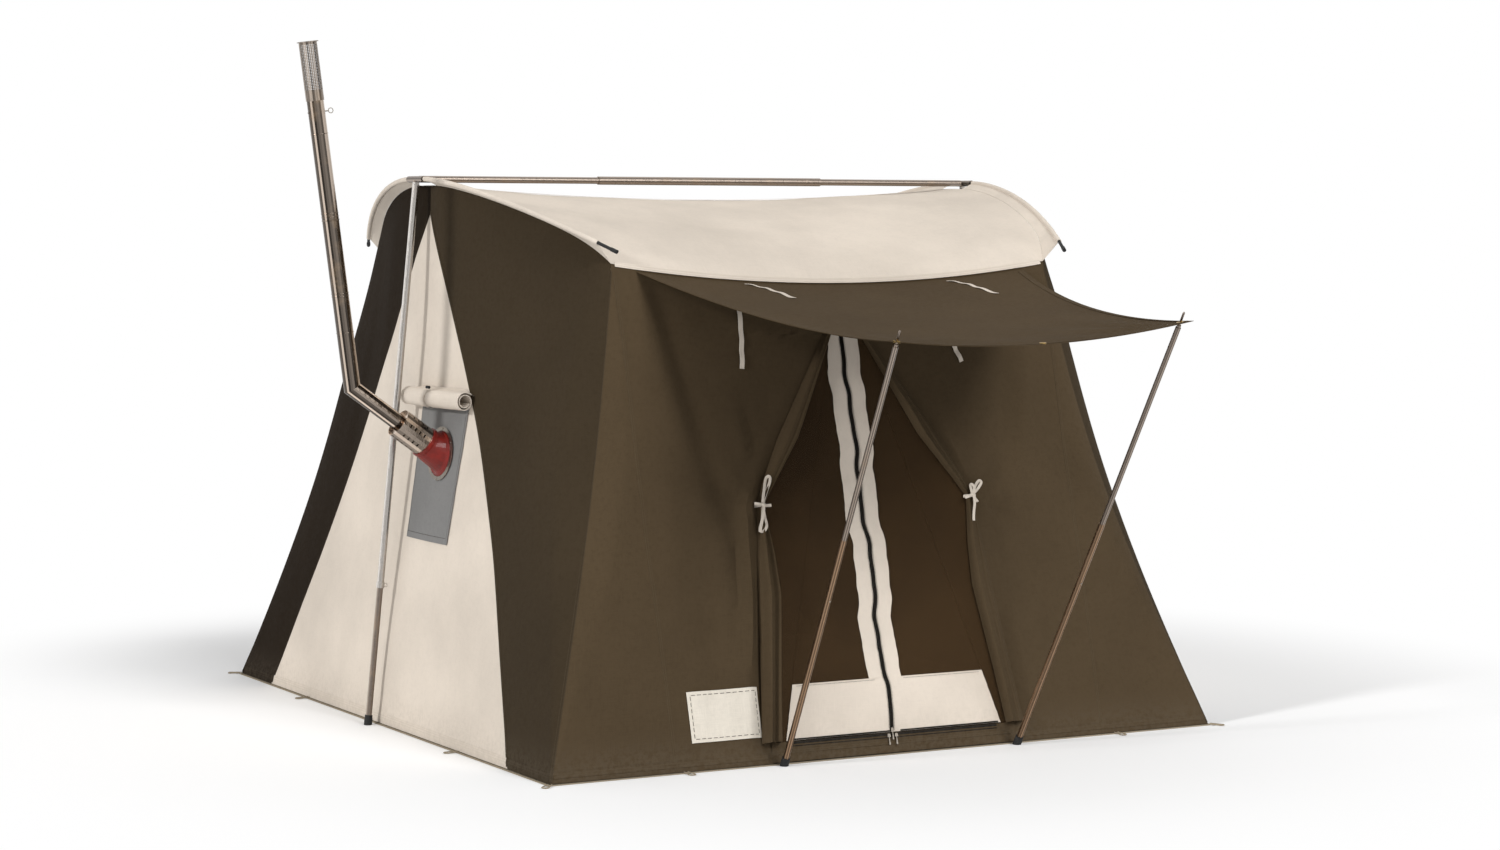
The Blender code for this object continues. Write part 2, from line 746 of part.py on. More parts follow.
def make_rods():
    reach = ROD_SLEEVE_END + ROD_TIP_LENGTH
    half = [(y, ROD_RADIUS) for y in [TEE_HALF] + bow_stations() + [reach - ROD_CAP_LENGTH]]
    half += [(reach - ROD_CAP_LENGTH + GAP, ROD_CAP_RADIUS), (reach - GAP, ROD_CAP_RADIUS)]
    half += [(reach, ROD_CAP_RADIUS / 2)]
    stations = [(-y, r) for y, r in reversed(half)] + half
    for side, word in ((-1, "left"), (1, "right")):
        path = [rod_point(side, y) for y, _ in stations]
        swept(f"spring_rod_{word}", path, [r for _, r in stations], ROD_ROUND, "steel tube")


def sleeve_section(side, y):
    """One section of the rod sleeve and its fin, a wrap that stays open for the seam."""
    centre = rod_point(side, y)
    step = TEE_HALF / 10
    tangent = (rod_point(side, y + step) - rod_point(side, y - step)).normalized()
    t = y / ROD_SLEEVE_END * (1 - SEAM_GAP / EAVE_DEPTH)
    seam = seam_point(side, t)
    to_seam = seam - centre
    first = (to_seam - tangent * to_seam.dot(tangent)).normalized()
    second = tangent.cross(first)
    edge = centre + to_seam * (1 - SLEEVE_LIFT / to_seam.length)
    inner = ROD_RADIUS + ROD_FIT
    outer = inner + SLEEVE_CLOTH
    half = SLEEVE_CLOTH / 2
    start = math.asin(half / outer)
    root = -math.asin(half / inner)
    wrap = math.radians(SLEEVE_WRAP_DEG)
    shape = []
    steps = 7
    for k in range(steps + 1):
        angle = blend(start, wrap, k / steps)
        shape.append((outer * math.cos(angle), outer * math.sin(angle)))
    for k in range(steps + 1):
        angle = blend(wrap, root, k / steps)
        shape.append((inner * math.cos(angle), inner * math.sin(angle)))
    skin = [centre + first * a + second * b for a, b in shape]
    return [edge - second * half, edge + second * half] + skin


def make_sleeves():
    margin = TEE_HALF + ROD_CAP_RADIUS - OVERRUN / 4
    aside = TEE_RADIUS + 2 * SLEEVE_CLOTH
    beside = RIDGE_TUBE_RADIUS + SLEEVE_CLOTH
    for side, word in ((-1, "left"), (1, "right")):
        sections = [sleeve_section(side, y) for y in mirrored(bow_stations())]
        fin = lofted(f"rod_sleeve_{word}", sections, "cream canvas")
        head = Vector((side * RIDGE_HALF, 0, RIDGE_HEIGHT))
        for near, wide, low in ((-aside, margin, -TEE_HALF), (-TEE_STUB_LENGTH, beside, -beside)):
            start, end = side * near, side * TEE_HALF
            notch = box_solid("cutter", head + Vector((min(start, end), -wide, low)),
                              head + Vector((max(start, end), wide, TEE_HALF)))
            combine(fin, notch, "DIFFERENCE")


def box_solid(name, low, high, material="rubber", pivot=None):
    corners = [Vector((x, y, z)) for z in (low[2], high[2])
               for x, y in ((low[0], low[1]), (high[0], low[1]), (high[0], high[1]), (low[0], high[1]))]
    faces = [(0, 3, 2, 1), (4, 5, 6, 7), (0, 1, 5, 4), (1, 2, 6, 5), (2, 3, 7, 6), (3, 0, 4, 7)]
    return solid(name, corners, faces, material, pivot, smooth=False)


def side_axis(side):
    foot = Vector((side * SIDE_FOOT_HALF, 0, 0))
    head = Vector((side * RIDGE_HALF, 0, RIDGE_HEIGHT))
    return foot, (head - foot).normalized(), (head - foot).length


def make_tee(side, word):
    head = Vector((side * RIDGE_HALF, 0, RIDGE_HEIGHT))
    foot, axis, _ = side_axis(side)
    profile = [(0, -TEE_HALF), (TEE_RADIUS, -TEE_HALF), (TEE_RADIUS, TEE_HALF), (0, TEE_HALF)]
    tee = turned(f"tee_{word}", profile, head, (0, 1, 0), "steel tube")
    ridge_stub = RIDGE_TUBE_RADIUS - RIDGE_TUBE_WALL - TUBE_FIT
    pole_stub = SIDE_OUTER_RADIUS - TUBE_WALL - TUBE_FIT
    for radius, way in ((ridge_stub, Vector((-side, 0, 0))), (pole_stub, -axis)):
        stub = [(0, 0), (radius, 0), (radius, TEE_STUB_LENGTH), (0, TEE_STUB_LENGTH)]
        combine(tee, turned("stub", stub, head, way, "steel tube"), "UNION")
    hole = rod_cutter(head, (0, 1, 0), ROD_RADIUS + TEE_FIT, -TEE_HALF - OVERRUN, TEE_HALF + OVERRUN)
    combine(tee, hole, "DIFFERENCE")


def make_ridge():
    start = RIDGE_HALF - TEE_RADIUS - GAP
    for side, word in ((-1, "left"), (1, "right")):
        end = RIDGE_SLEEVE_LENGTH / 2 - RIDGE_TUBE_OVERLAP
        profile = tube_profile(RIDGE_TUBE_RADIUS, RIDGE_TUBE_WALL, end, start)
        turned(f"ridge_tube_{word}", profile, (0, 0, RIDGE_HEIGHT), (side, 0, 0), "steel tube")
        make_tee(side, word)
    half = RIDGE_SLEEVE_LENGTH / 2
    rim = RIDGE_SLEEVE_RADIUS - RIDGE_SLEEVE_WALL
    lip = RIDGE_TUBE_RADIUS + TUBE_FIT
    profile = [
        (lip, -half), (RIDGE_SLEEVE_RADIUS, -half), (RIDGE_SLEEVE_RADIUS, half), (lip, half),
        (lip, half - OVERRUN), (rim, half - OVERRUN), (rim, OVERRUN - half), (lip, OVERRUN - half),
    ]
    middle = (RIDGE_SLEEVE_OFFSET, 0, RIDGE_HEIGHT)
    turned("ridge_sleeve", profile, middle, (1, 0, 0), "steel tube", pivot=middle)


def foot_rings(foot, axis, tube_bore):
    """A rubber foot's rings: flat on the ground, then square to its pole."""
    rise = FOOT_HEIGHT
    spigot = tube_bore - TUBE_FIT
    rings = [
        ring_on_ground(foot, axis, FOOT_RADIUS - GAP * 2, 0.0),
        ring_on_ground(foot, axis, FOOT_RADIUS, GAP * 4),
    ]
    for radius, along in ((FOOT_RADIUS, rise / 2), (FOOT_RADIUS - GAP * 4, rise), (spigot, rise),
                          (spigot, rise + FOOT_SPIGOT)):
        rings.append(ring(foot + axis * along, axis, radius, ROUND))
    return rings


def ring_on_ground(foot, axis, radius, height):
    """The ring of a slanted round bar, moved down its own length to a level height."""
    points = ring(foot, axis, radius, ROUND)
    return [p + axis * ((height - p.z) / axis.z) for p in points]


def make_side_poles():
    for side, word in ((-1, "left"), (1, "right")):
        foot, axis, length = side_axis(side)
        joint = SIDE_JOINT_HEIGHT / axis.z
        outer, wall = SIDE_OUTER_RADIUS, TUBE_WALL
        upper = turned(f"side_pole_upper_{word}", [
            (outer - wall, joint), (COLLAR_RADIUS, joint), (COLLAR_RADIUS, joint + COLLAR_LENGTH),
            (outer, joint + COLLAR_LENGTH), (outer, length - TEE_RADIUS - GAP * 2),
            (outer - wall, length - TEE_RADIUS - GAP * 2),
        ], foot, axis, "steel tube")
        centre = foot + axis * (joint + COLLAR_LENGTH / 2)
        inward = Vector((-side, 0, 0))
        inward = (inward - axis * inward.dot(axis)).normalized()
        eye = centre + inward * (COLLAR_RADIUS + EYELET_RADIUS - EYELET_WIRE)
        combine(upper, torus("eyelet", eye, (0, 1, 0), EYELET_RADIUS, EYELET_WIRE, "steel tube"), "UNION")
        start = FOOT_HEIGHT + GAP
        profile = tube_profile(SIDE_INNER_RADIUS, wall, start, joint + SIDE_OVERLAP)
        lower = turned(f"side_pole_lower_{word}", profile, foot, axis, "steel tube", pivot=foot)
        rubber = lofted(f"side_pole_foot_{word}", foot_rings(foot, axis, SIDE_INNER_RADIUS - wall),
                        "rubber", pivot=foot)
        carry(lower, rubber)


def torus(name, centre, axis, radius, wire, material, pivot=None):
    first, second = frame_of(axis)
    axis = Vector(axis).normalized()
    rings = []
    for k in range(SMALL_ROUND):
        angle = 2 * math.pi * k / SMALL_ROUND
        out = first * math.cos(angle) + second * math.sin(angle)
        core = Vector(centre) + out * radius
        rings.append([core + out * (wire * math.cos(a)) + axis * (wire * math.sin(a))
                      for a in spaced(0, 2 * math.pi * 5 / 6, 6)])
    return lofted(name, rings, material, pivot, closed=True)


def awning_corner(side):
    height = AWNING_LEFT_HEIGHT if side < 0 else AWNING_RIGHT_HEIGHT
    return Vector((side * AWNING_POST_HALF, -AWNING_REACH, height))


def awning_point(u, v):
    """The awning's middle surface: u from left to right, v from the wall to the front hem."""
    rear_x = blend(-AWNING_HALF, AWNING_HALF, u)
    s = rear_x / EAVE_HALF
    rear = on_wall(rear_x, eave_height(s) - AWNING_DROP, CLOTH / 2 * WALL_SLOPE + GAP)
    out = Vector((AWNING_HEM_WIDTH, 0, 0))
    ahead = Vector((0, -AWNING_HEM_DEPTH, 0))
    front = (awning_corner(-1) - out).lerp(awning_corner(1) + out, u) + ahead
    front.z -= AWNING_FRONT_SAG * 4 * u * (1 - u)
    point = rear.lerp(front, v)
    bow = 4 * v * (1 - v)
    side = 2 * u - 1
    point.x -= side * AWNING_SIDE_SCOOP * bow
    point.z -= bow * blend(AWNING_MID_SAG, AWNING_SIDE_SAG, side * side)
    return point


def awning_facet(u, v):
    """The awning's meshed middle surface, straight between its rows and columns."""
    column = min(max(int(u * AWNING_COLUMNS), 0), AWNING_COLUMNS - 1)
    row = min(max(int(v * AWNING_ROWS), 0), AWNING_ROWS - 1)
    a, b = u * AWNING_COLUMNS - column, v * AWNING_ROWS - row
    left, right = column / AWNING_COLUMNS, (column + 1) / AWNING_COLUMNS
    back, front = row / AWNING_ROWS, (row + 1) / AWNING_ROWS
    rear = awning_point(left, back).lerp(awning_point(right, back), a)
    return rear.lerp(awning_point(left, front).lerp(awning_point(right, front), a), b)


def awning_normal(u, v):
    step = 0.002
    across = awning_facet(u + step, v) - awning_facet(u - step, v)
    along = awning_facet(u, v - step) - awning_facet(u, v + step)
    return across.cross(along).normalized()


def awning_place(target):
    """The u and v of the awning's point under a target, by walking to it."""
    u, v = (target.x / AWNING_POST_HALF + 1) / 2, 1.0
    for _ in range(20):
        point = awning_facet(u, v)
        width = (awning_point(1, v) - awning_point(0, v)).length
        u += (target.x - point.x) / width
        v -= (target.y - point.y) / (AWNING_REACH - EAVE_DEPTH)
    return u, v


def post_axis(side):
    foot = Vector((side * AWNING_FOOT_HALF, -AWNING_FOOT_DEPTH, 0))
    u, v = awning_place(awning_corner(side))
    head = awning_facet(u, v)
    return foot, (head - foot).normalized(), (head - foot).length, head, awning_normal(u, v)


def make_awning():
    upper, lower = [], []
    for v in spaced(0, 1, AWNING_ROWS + 1):
        line = [awning_point(u, v) for u in spaced(0, 1, AWNING_COLUMNS + 1)]
        upper.append([p + Vector((0, 0, CLOTH / 2)) for p in line])
        lower.append([p - Vector((0, 0, CLOTH / 2)) for p in line])
    awning = sheet("awning", upper, lower, "olive canvas")
    barrel = GROMMET_BORE + GROMMET_SHEET
    grip = CLOTH / 2 + GROMMET_FIT
    edge = grip + GROMMET_SHEET
    for side, word in ((-1, "left"), (1, "right")):
        _, _, _, head, normal = post_axis(side)
        hole = rod_cutter(head, normal, barrel + GROMMET_FIT, -OVERRUN, OVERRUN, SMALL_ROUND)
        combine(awning, hole, "DIFFERENCE")
        profile = [
            (GROMMET_BORE, -edge), (GROMMET_FLANGE, -edge), (GROMMET_FLANGE, -grip), (barrel, -grip),
            (barrel, grip), (GROMMET_FLANGE, grip), (GROMMET_FLANGE, edge), (GROMMET_BORE, edge),
        ]
        turned(f"awning_grommet_{word}", profile, head, normal, "brass", SMALL_ROUND)


def make_awning_poles():
    for side, word in ((-1, "left"), (1, "right")):
        foot, axis, length, head, normal = post_axis(side)
        lift = CLOTH / 2 + GROMMET_FIT + GROMMET_SHEET
        tilt = axis.angle(normal)
        shoulder = length - (lift + FERRULE_RADIUS * math.sin(tilt)) / math.cos(tilt) - GAP
        outer, inner = POST_OUTER_RADIUS, POST_INNER_RADIUS
        bore = outer - TUBE_WALL
        lower = turned(f"awning_pole_lower_{word}",
                       tube_profile(outer, TUBE_WALL, FOOT_HEIGHT + GAP, POST_JOINT), foot, axis, "steel tube")
        place = foot + axis * POST_BUTTON
        outward = Vector((side * 0, -1, 0))
        outward = (outward - axis * outward.dot(axis)).normalized()
        combine(lower, rod_cutter(place, outward, BUTTON_RADIUS + GAP, 0, outer + OVERRUN, SMALL_ROUND),
                "DIFFERENCE")
        lofted(f"awning_pole_foot_{word}", foot_rings(foot, axis, bore), "rubber")
        upper_bore = inner - TUBE_WALL
        neck = shoulder - FERRULE_LENGTH
        top = length + SPINDLE_LENGTH
        turned(f"awning_pole_upper_{word}", [
            (upper_bore, POST_JOINT - POST_OVERLAP), (inner, POST_JOINT - POST_OVERLAP), (inner, neck),
            (FERRULE_RADIUS, neck), (FERRULE_RADIUS, shoulder), (SPINDLE_RADIUS, shoulder),
            (SPINDLE_RADIUS, top - SPINDLE_RADIUS), (SPINDLE_RADIUS / 2, top - GAP), (0, top),
            (0, neck - OVERRUN), (upper_bore, neck - OVERRUN),
        ], foot, axis, "steel tube", pivot=head)
        start = bore + GAP
        proud = outer + BUTTON_PROUD
        turned(f"snap_button_{word}", [
            (0, start), (BUTTON_RADIUS, start), (BUTTON_RADIUS, proud - BUTTON_RADIUS / 2),
            (BUTTON_RADIUS / 2, proud), (0, proud),
        ], place, outward, "steel tube", SMALL_ROUND, pivot=place)


def plate(name, outline, low, high, material, pivot=None):
    """A flat piece on the front wall's plane from an outline of (x, z) points."""
    count = len(outline)
    points = [on_wall(x, z, low) for x, z in outline] + [on_wall(x, z, high) for x, z in outline]
    faces = [tuple(range(count)), tuple(range(count, 2 * count))] + band(0, count, count)
    return solid(name, points, faces, material, pivot, smooth=False)


def zip_line(z):
    """The centre zip's x, which wanders as the taut canvas pulls it."""
    share = (z - SILL_HEIGHT) / (DOOR_TOP - SILL_HEIGHT)
    return ZIP_OFFSET + BAND_WAVE * math.sin(2 * math.pi * BAND_WAVES * share) * (1 - share * share)


def leaf_pivot(side):
    return on_wall(side * DOOR_FOOT_HALF, SILL_HEIGHT, BAND_THICKNESS)


def make_door():
    mesh_low, mesh_high = -CLOTH, MESH_THICKNESS - CLOTH
    band_low = mesh_high + GAP
    band_high = band_low + BAND_THICKNESS
    top = DOOR_TOP - 2 * GAP
    low_edge = SILL_HEIGHT + 2 * GAP
    foot = SILL_HEIGHT + LEAF_CLEARANCE
    steps = 25
    leaves = {}
    for side, word in ((-1, "left"), (1, "right")):
        pivot = leaf_pivot(side)
        zip_side = [(zip_line(z) + side * ZIP_GAP / 2, z) for z in spaced(foot, top, steps)]
        leaf = [(side * (crease_half(foot) - GAP), foot)] + zip_side
        leaf += [(side * (crease_half(top) - GAP), top)]
        leaves[side] = plate(f"door_mesh_{word}", leaf, mesh_low, mesh_high, "mesh", pivot)
        outer_side = []
        for z in spaced(top, KICK_TOP, steps - 3):
            free = zip_line(z) + side * BAND_HALF
            hinge = side * (crease_half(z) - GAP)
            outer_side.append((side * min(side * free, side * hinge), z))
        outline = zip_side + outer_side
        outline += [(side * (crease_half(z) - GAP), z) for z in (KICK_TOP, foot)]
        carry(leaves[side], plate(f"door_band_{word}", outline, band_low, band_high, "cream canvas", pivot))
        fixed = [(side * (crease_half(z) + GAP), z) for z in (low_edge, top)]
        for share in FLAP_HEIGHT_SHARES[1:-1]:
            z = door_level(share)
            fixed.append((side * (door_edge(z) - GAP), z))
        fixed.append((side * (door_edge(low_edge) - GAP), low_edge))
        plate(f"door_side_mesh_{word}", fixed, mesh_low, mesh_high, "mesh")
    edge = door_edge(0) - GAP
    foot_z = BASE_Z + CLOTH
    sill = [(-edge, foot_z), (edge, foot_z), (edge, SILL_HEIGHT), (-edge, SILL_HEIGHT)]
    plate("door_sill", sill, -CLOTH, 0, "olive canvas")
    make_sliders(leaves[-1], band_high)


def slider_solid(name, x, z, way, lift, pivot):
    """A zip slider with its pull tab hanging below it."""
    wide, long = (SLIDER_WIDTH, SLIDER_LENGTH) if way else (SLIDER_LENGTH, SLIDER_WIDTH)
    low = lift + GAP
    outline = [(x - wide / 2, z), (x - wide / 3, z + long), (x + wide / 3, z + long), (x + wide / 2, z)]
    body = plate(name, outline, low, low + SLIDER_DEPTH, "stainless", pivot)
    tab_low = low + SLIDER_DEPTH - PULL_DEPTH - GAP
    half = PULL_WIDTH / 2
    tab = [(x - half / 2, z + GAP), (x - half, z - PULL_LENGTH)]
    tab += [(x + half, z - PULL_LENGTH), (x + half / 2, z + GAP)]
    tab_part = plate("tab", tab, tab_low, tab_low + PULL_DEPTH, "stainless", pivot)
    return combine(body, tab_part, "UNION")


def make_sliders(leaf, band_high):
    base = SILL_HEIGHT + GAP
    centre_x = zip_line(SILL_HEIGHT)
    pivot = on_wall(centre_x, base, band_high)
    carry(leaf, slider_solid("zip_slider_centre", centre_x, base + GAP * 8, True, band_high, pivot))
    for side, word in ((-1, "left"), (1, "right")):
        x = centre_x + side * SLIDER_PITCH
        z = SILL_HEIGHT - SLIDER_LENGTH
        slider_solid(f"zip_slider_{word}", x, z, False, 0, on_wall(x, z, 0))


def flap_section(side, z):
    """One level section of a tied-back door flap: a drawn fold of cloth, hollow at the wall."""
    inner = polyline(flap_edge(FLAP_INNER_SHARES), z)
    outer = polyline(flap_edge(FLAP_OUTER_SHARES), z)
    pinch = abs(z - TIE_HEIGHT) / (DOOR_TOP - TIE_HEIGHT)
    lift = FLAP_LIFT * min(1.0, 0.45 + 1.1 * min(pinch, 0.5))
    if z > TIE_HEIGHT:
        lift *= 1 - 0.55 * ((z - TIE_HEIGHT) / (DOOR_TOP - TIE_HEIGHT)) ** 2
    shape = []
    steps = 10
    base = GAP
    for k in range(steps + 1):
        share = k / steps
        bulge = math.sin(math.pi * share) ** 0.6
        fold = FLAP_FOLD * math.sin(3 * math.pi * share) * math.sin(math.pi * share)
        shape.append((blend(inner, outer, share), base + lift * bulge * 0.8 + fold + CLOTH * 0.7))
    shape.append((outer, base))
    shape.append((inner, base))
    return [on_wall(side * x, z, lift_out) for x, lift_out in shape]


def make_flaps():
    for side, word in ((-1, "left"), (1, "right")):
        rings = [flap_section(side, door_level(share)) for share in FLAP_RING_SHARES]
        lofted(f"door_flap_{word}", rings, "olive canvas")


def pipe_lower_axis():
    rise = math.radians(PIPE_RISE_DEG)
    return Vector((-math.cos(rise), 0, math.sin(rise)))


def pipe_upper_axis():
    lean = math.radians(PIPE_LEAN_DEG)
    return Vector((-math.sin(lean), 0, math.cos(lean)))


def pipe_gate():
    """Where the pipe's axis meets the gable's outer face."""
    return on_gable(-1, PIPE_PLANE, PIPE_HEIGHT, 0)


def tree_of(name):
    """A search tree of a finished panel in world places."""
    made = bpy.data.objects[name]
    corners = [made.matrix_world @ v.co for v in made.data.vertices]
    return BVHTree.FromPolygons(corners, [tuple(f.vertices) for f in made.data.polygons])


def rested(walls, y, z, lift):
    """A point lifted off whichever meshed panel stands furthest out under it."""
    normal = gable_normal(-1, y, z)
    start = on_gable(-1, y, z, OVERRUN * 2)
    reach = OVERRUN * 2
    for wall in walls:
        found = wall.ray_cast(start, -normal, OVERRUN * 3)
        if found[0] is not None:
            reach = min(reach, found[3])
    return start - normal * (reach - lift)


def make_jack():
    """The grey panel, the rolled-up flap over it, and the holes for the pipe."""
    gate, axis = pipe_gate(), pipe_lower_axis()
    hole = GUARD_RADIUS + WALL_HOLE_FIT
    reach = GUARD_OUT_LENGTH + OVERRUN
    low, high = JACK_LIFT, JACK_LIFT + JACK_SHEET
    cream = bpy.data.objects["gable_left_centre"]
    combine(cream, rod_cutter(gate, axis, hole, -reach, reach), "DIFFERENCE")
    outer, inner = [], []
    walls = [tree_of(name) for name in ("gable_left_centre", "gable_left_front")]
    for z in spaced(JACK_FOOT, JACK_TOP, 9):
        share = (z - JACK_FOOT) / (JACK_TOP - JACK_FOOT)
        front = PIPE_PLANE - blend(JACK_FOOT_WIDTH, JACK_TOP_WIDTH, share)
        places = spaced(PIPE_PLANE + JACK_BACK_WIDTH, front, 8)
        outer.append([rested(walls, y, z, high) for y in places])
        inner.append([rested(walls, y, z, low) for y in places])
    panel = sheet("jack_panel", outer, inner, "grey panel")
    combine(panel, rod_cutter(gate, axis, hole, -reach, reach), "DIFFERENCE")
    make_roll()


def make_roll():
    """A flap of cloth rolled up over the jack panel, with its loose turns showing at the ends."""
    turns = 20
    outer, inner = [], []
    for k in range(turns + 1):
        share = k / turns
        angle = math.radians(100) - share * ROLL_TURNS * 2 * math.pi
        radius = ROLL_RADIUS - ROLL_PITCH * ROLL_TURNS * share
        outer.append((radius * math.cos(angle), radius * math.sin(angle)))
        thin = radius - ROLL_CLOTH
        inner.append((thin * math.cos(angle), thin * math.sin(angle)))
    tail_out = (-ROLL_RADIUS + ROLL_CLOTH, ROLL_RADIUS + ROLL_TAIL)
    tail_in = (-ROLL_RADIUS, ROLL_RADIUS + ROLL_TAIL)
    shape = [tail_out] + outer + inner[::-1] + [tail_in]
    walls = [tree_of(name) for name in ("gable_left_centre", "gable_left_front")]
    sections = []
    for y in spaced(PIPE_PLANE + ROLL_BACK_WIDTH, PIPE_PLANE - ROLL_FRONT_WIDTH, 5):
        base = rested(walls, y, ROLL_HEIGHT, ROLL_RADIUS + ROLL_LIFT)
        normal = gable_normal(-1, y, ROLL_HEIGHT)
        up = Vector((0, 1, 0)).cross(normal).normalized()
        up = up if up.z > 0 else -up
        sections.append([base + normal * a + up * b for a, b in shape])
    lofted("roll_flap", sections, "cream canvas")


def seat_height(gate, square):
    """How far the jack panel stands out at most under the boot's flange."""
    made = bpy.data.objects["jack_panel"]
    heights = []
    for corner in made.data.vertices:
        place = made.matrix_world @ corner.co - gate
        if place.length < BOOT_FLANGE_RADIUS * 1.5:
            heights.append(place.dot(square))
    return max(heights)


def make_boot():
    """The clamp ring and the stepped silicone boot, drawn from the panel's slant to the pipe's."""
    gate, axis = pipe_gate(), pipe_lower_axis()
    square = gable_normal(-1, PIPE_PLANE, PIPE_HEIGHT)
    rise = axis.dot(square)
    base = seat_height(gate, square) + GAP
    hole = (GUARD_RADIUS + WALL_HOLE_FIT) / rise
    flat = [
        (hole, base), (BOOT_FLANGE_RADIUS, base), (BOOT_FLANGE_RADIUS, base + BOOT_SHEET),
        (BOOT_BASE_RADIUS, base + BOOT_SHEET), (BOOT_BASE_RADIUS - BOOT_SHEET / 2, base + BOOT_LOW_HEIGHT),
        (BOOT_DOME_RADIUS, base + BOOT_DOME_HEIGHT), (BOOT_STEP_RADIUS, base + BOOT_GROOVE_HEIGHT),
        (BOOT_NECK_RADIUS, base + BOOT_HIGH_HEIGHT),
    ]
    collar = GUARD_RADIUS + GAP
    sides = PIPE_ROUND
    first, second = frame_of(axis)

    def slanted(radius, height):
        """A ring square to the panel, its centre carried along the pipe's axis."""
        centre = gate + axis * (height / rise)
        return ring_like(centre, square, radius, first, sides)

    rings = [slanted(r, h) for r, h in flat]
    wide, waist = collar + BOOT_SHEET * 2, collar + BOOT_SHEET * 1.5
    neck = [
        (wide, BOOT_COLLAR_START), (waist, BOOT_COLLAR_START + BOOT_COLLAR_LENGTH / 3),
        (wide, BOOT_COLLAR_START + BOOT_COLLAR_LENGTH / 2), (wide, BOOT_COLLAR_END),
        (collar, BOOT_COLLAR_END), (collar, BOOT_COLLAR_START),
    ]
    for radius, along in neck:
        rings.append(ring_like(gate + axis * along, axis, radius, first, sides))
    rings.append(slanted(hole, base + BOOT_SHEET))
    lofted("pipe_boot", rings, "silicone", closed=True)
    low = base + BOOT_SHEET + GAP
    high = low + RING_SHEET
    clamp = [slanted(r, h) for r, h in ((RING_INNER_RADIUS, low), (RING_OUTER_RADIUS, low),
                                        (RING_OUTER_RADIUS, high), (RING_INNER_RADIUS, high))]
    flange = lofted("clamp_ring", clamp, "stainless", closed=True)
    middle = (RING_INNER_RADIUS + RING_OUTER_RADIUS) / 2
    for k in range(RING_SCREWS):
        spot = ring_like(gate + axis * (high / rise), square, middle, first, RING_SCREWS)[k]
        profile = [
            (0, -RING_SHEET / 2), (SCREW_RADIUS, -RING_SHEET / 2), (SCREW_RADIUS, SCREW_HEIGHT / 2),
            (SCREW_RADIUS / 2, SCREW_HEIGHT), (0, SCREW_HEIGHT),
        ]
        combine(flange, turned("screw", profile, spot, square, "stainless", 6), "UNION")


def ring_like(centre, axis, radius, towards, sides):
    """A ring whose first point lies towards a given direction."""
    axis = Vector(axis).normalized()
    first = (towards - axis * towards.dot(axis)).normalized()
    second = axis.cross(first)
    points = []
    for k in range(sides):
        angle = 2 * math.pi * k / sides
        points.append(centre + first * (radius * math.cos(angle)) + second * (radius * math.sin(angle)))
    return points


def vent_cutter(centre, out, axis):
    """A cutter for one punched slot, which runs round the sleeve."""
    across = axis.cross(out)
    corners = []
    for depth in (PIPE_RADIUS + OVERRUN, GUARD_RADIUS + OVERRUN):
        for a, b in ((-1, -1), (1, -1), (1, 1), (-1, 1)):
            corners.append(centre + out * depth + axis * (a * VENT_WIDTH / 2) + across * (b * VENT_LENGTH / 2))
    faces = [(0, 1, 2, 3), (4, 5, 6, 7)] + band(0, 4, 4)
    return solid("cutter", corners, faces, "rubber", smooth=False)


def make_guard(pivot):
    """The double wall's outer sleeve, held off the pipe by a plate set back in its open end."""
    gate, axis = pipe_gate(), pipe_lower_axis()
    end = PIPE_RADIUS + GAP
    inner = GUARD_RADIUS - GUARD_WALL
    back = GUARD_OUT_LENGTH - GUARD_RECESS
    guard = turned("vent_guard", [
        (inner, -GUARD_INSIDE_LENGTH), (GUARD_RADIUS, -GUARD_INSIDE_LENGTH), (GUARD_RADIUS, GUARD_OUT_LENGTH),
        (inner, GUARD_OUT_LENGTH), (inner, back), (end, back), (end, back - GUARD_WALL),
        (inner, back - GUARD_WALL),
    ], gate, axis, "stainless", PIPE_ROUND, pivot=pivot)
    first, second = frame_of(axis)
    for row in range(VENT_ROWS):
        centre = gate + axis * (GUARD_OUT_LENGTH - VENT_FROM_END - VENT_PITCH * row)
        for k in range(VENT_COLUMNS):
            angle = 2 * math.pi * (k / VENT_COLUMNS + 0.5 / PIPE_ROUND)
            out = first * math.cos(angle) + second * math.sin(angle)
            combine(guard, vent_cutter(centre, out, axis), "DIFFERENCE")
    return guard


def beaded(inner, outer, start, end, bead_at):
    """A pipe's profile with a rolled bead at one place."""
    half = BEAD_LENGTH / 2
    return [
        (inner, start), (outer, start), (outer, bead_at - half), (outer + BEAD_HEIGHT, bead_at - half / 2),
        (outer + BEAD_HEIGHT, bead_at + half / 2), (outer, bead_at + half), (outer, end), (inner, end),
    ]


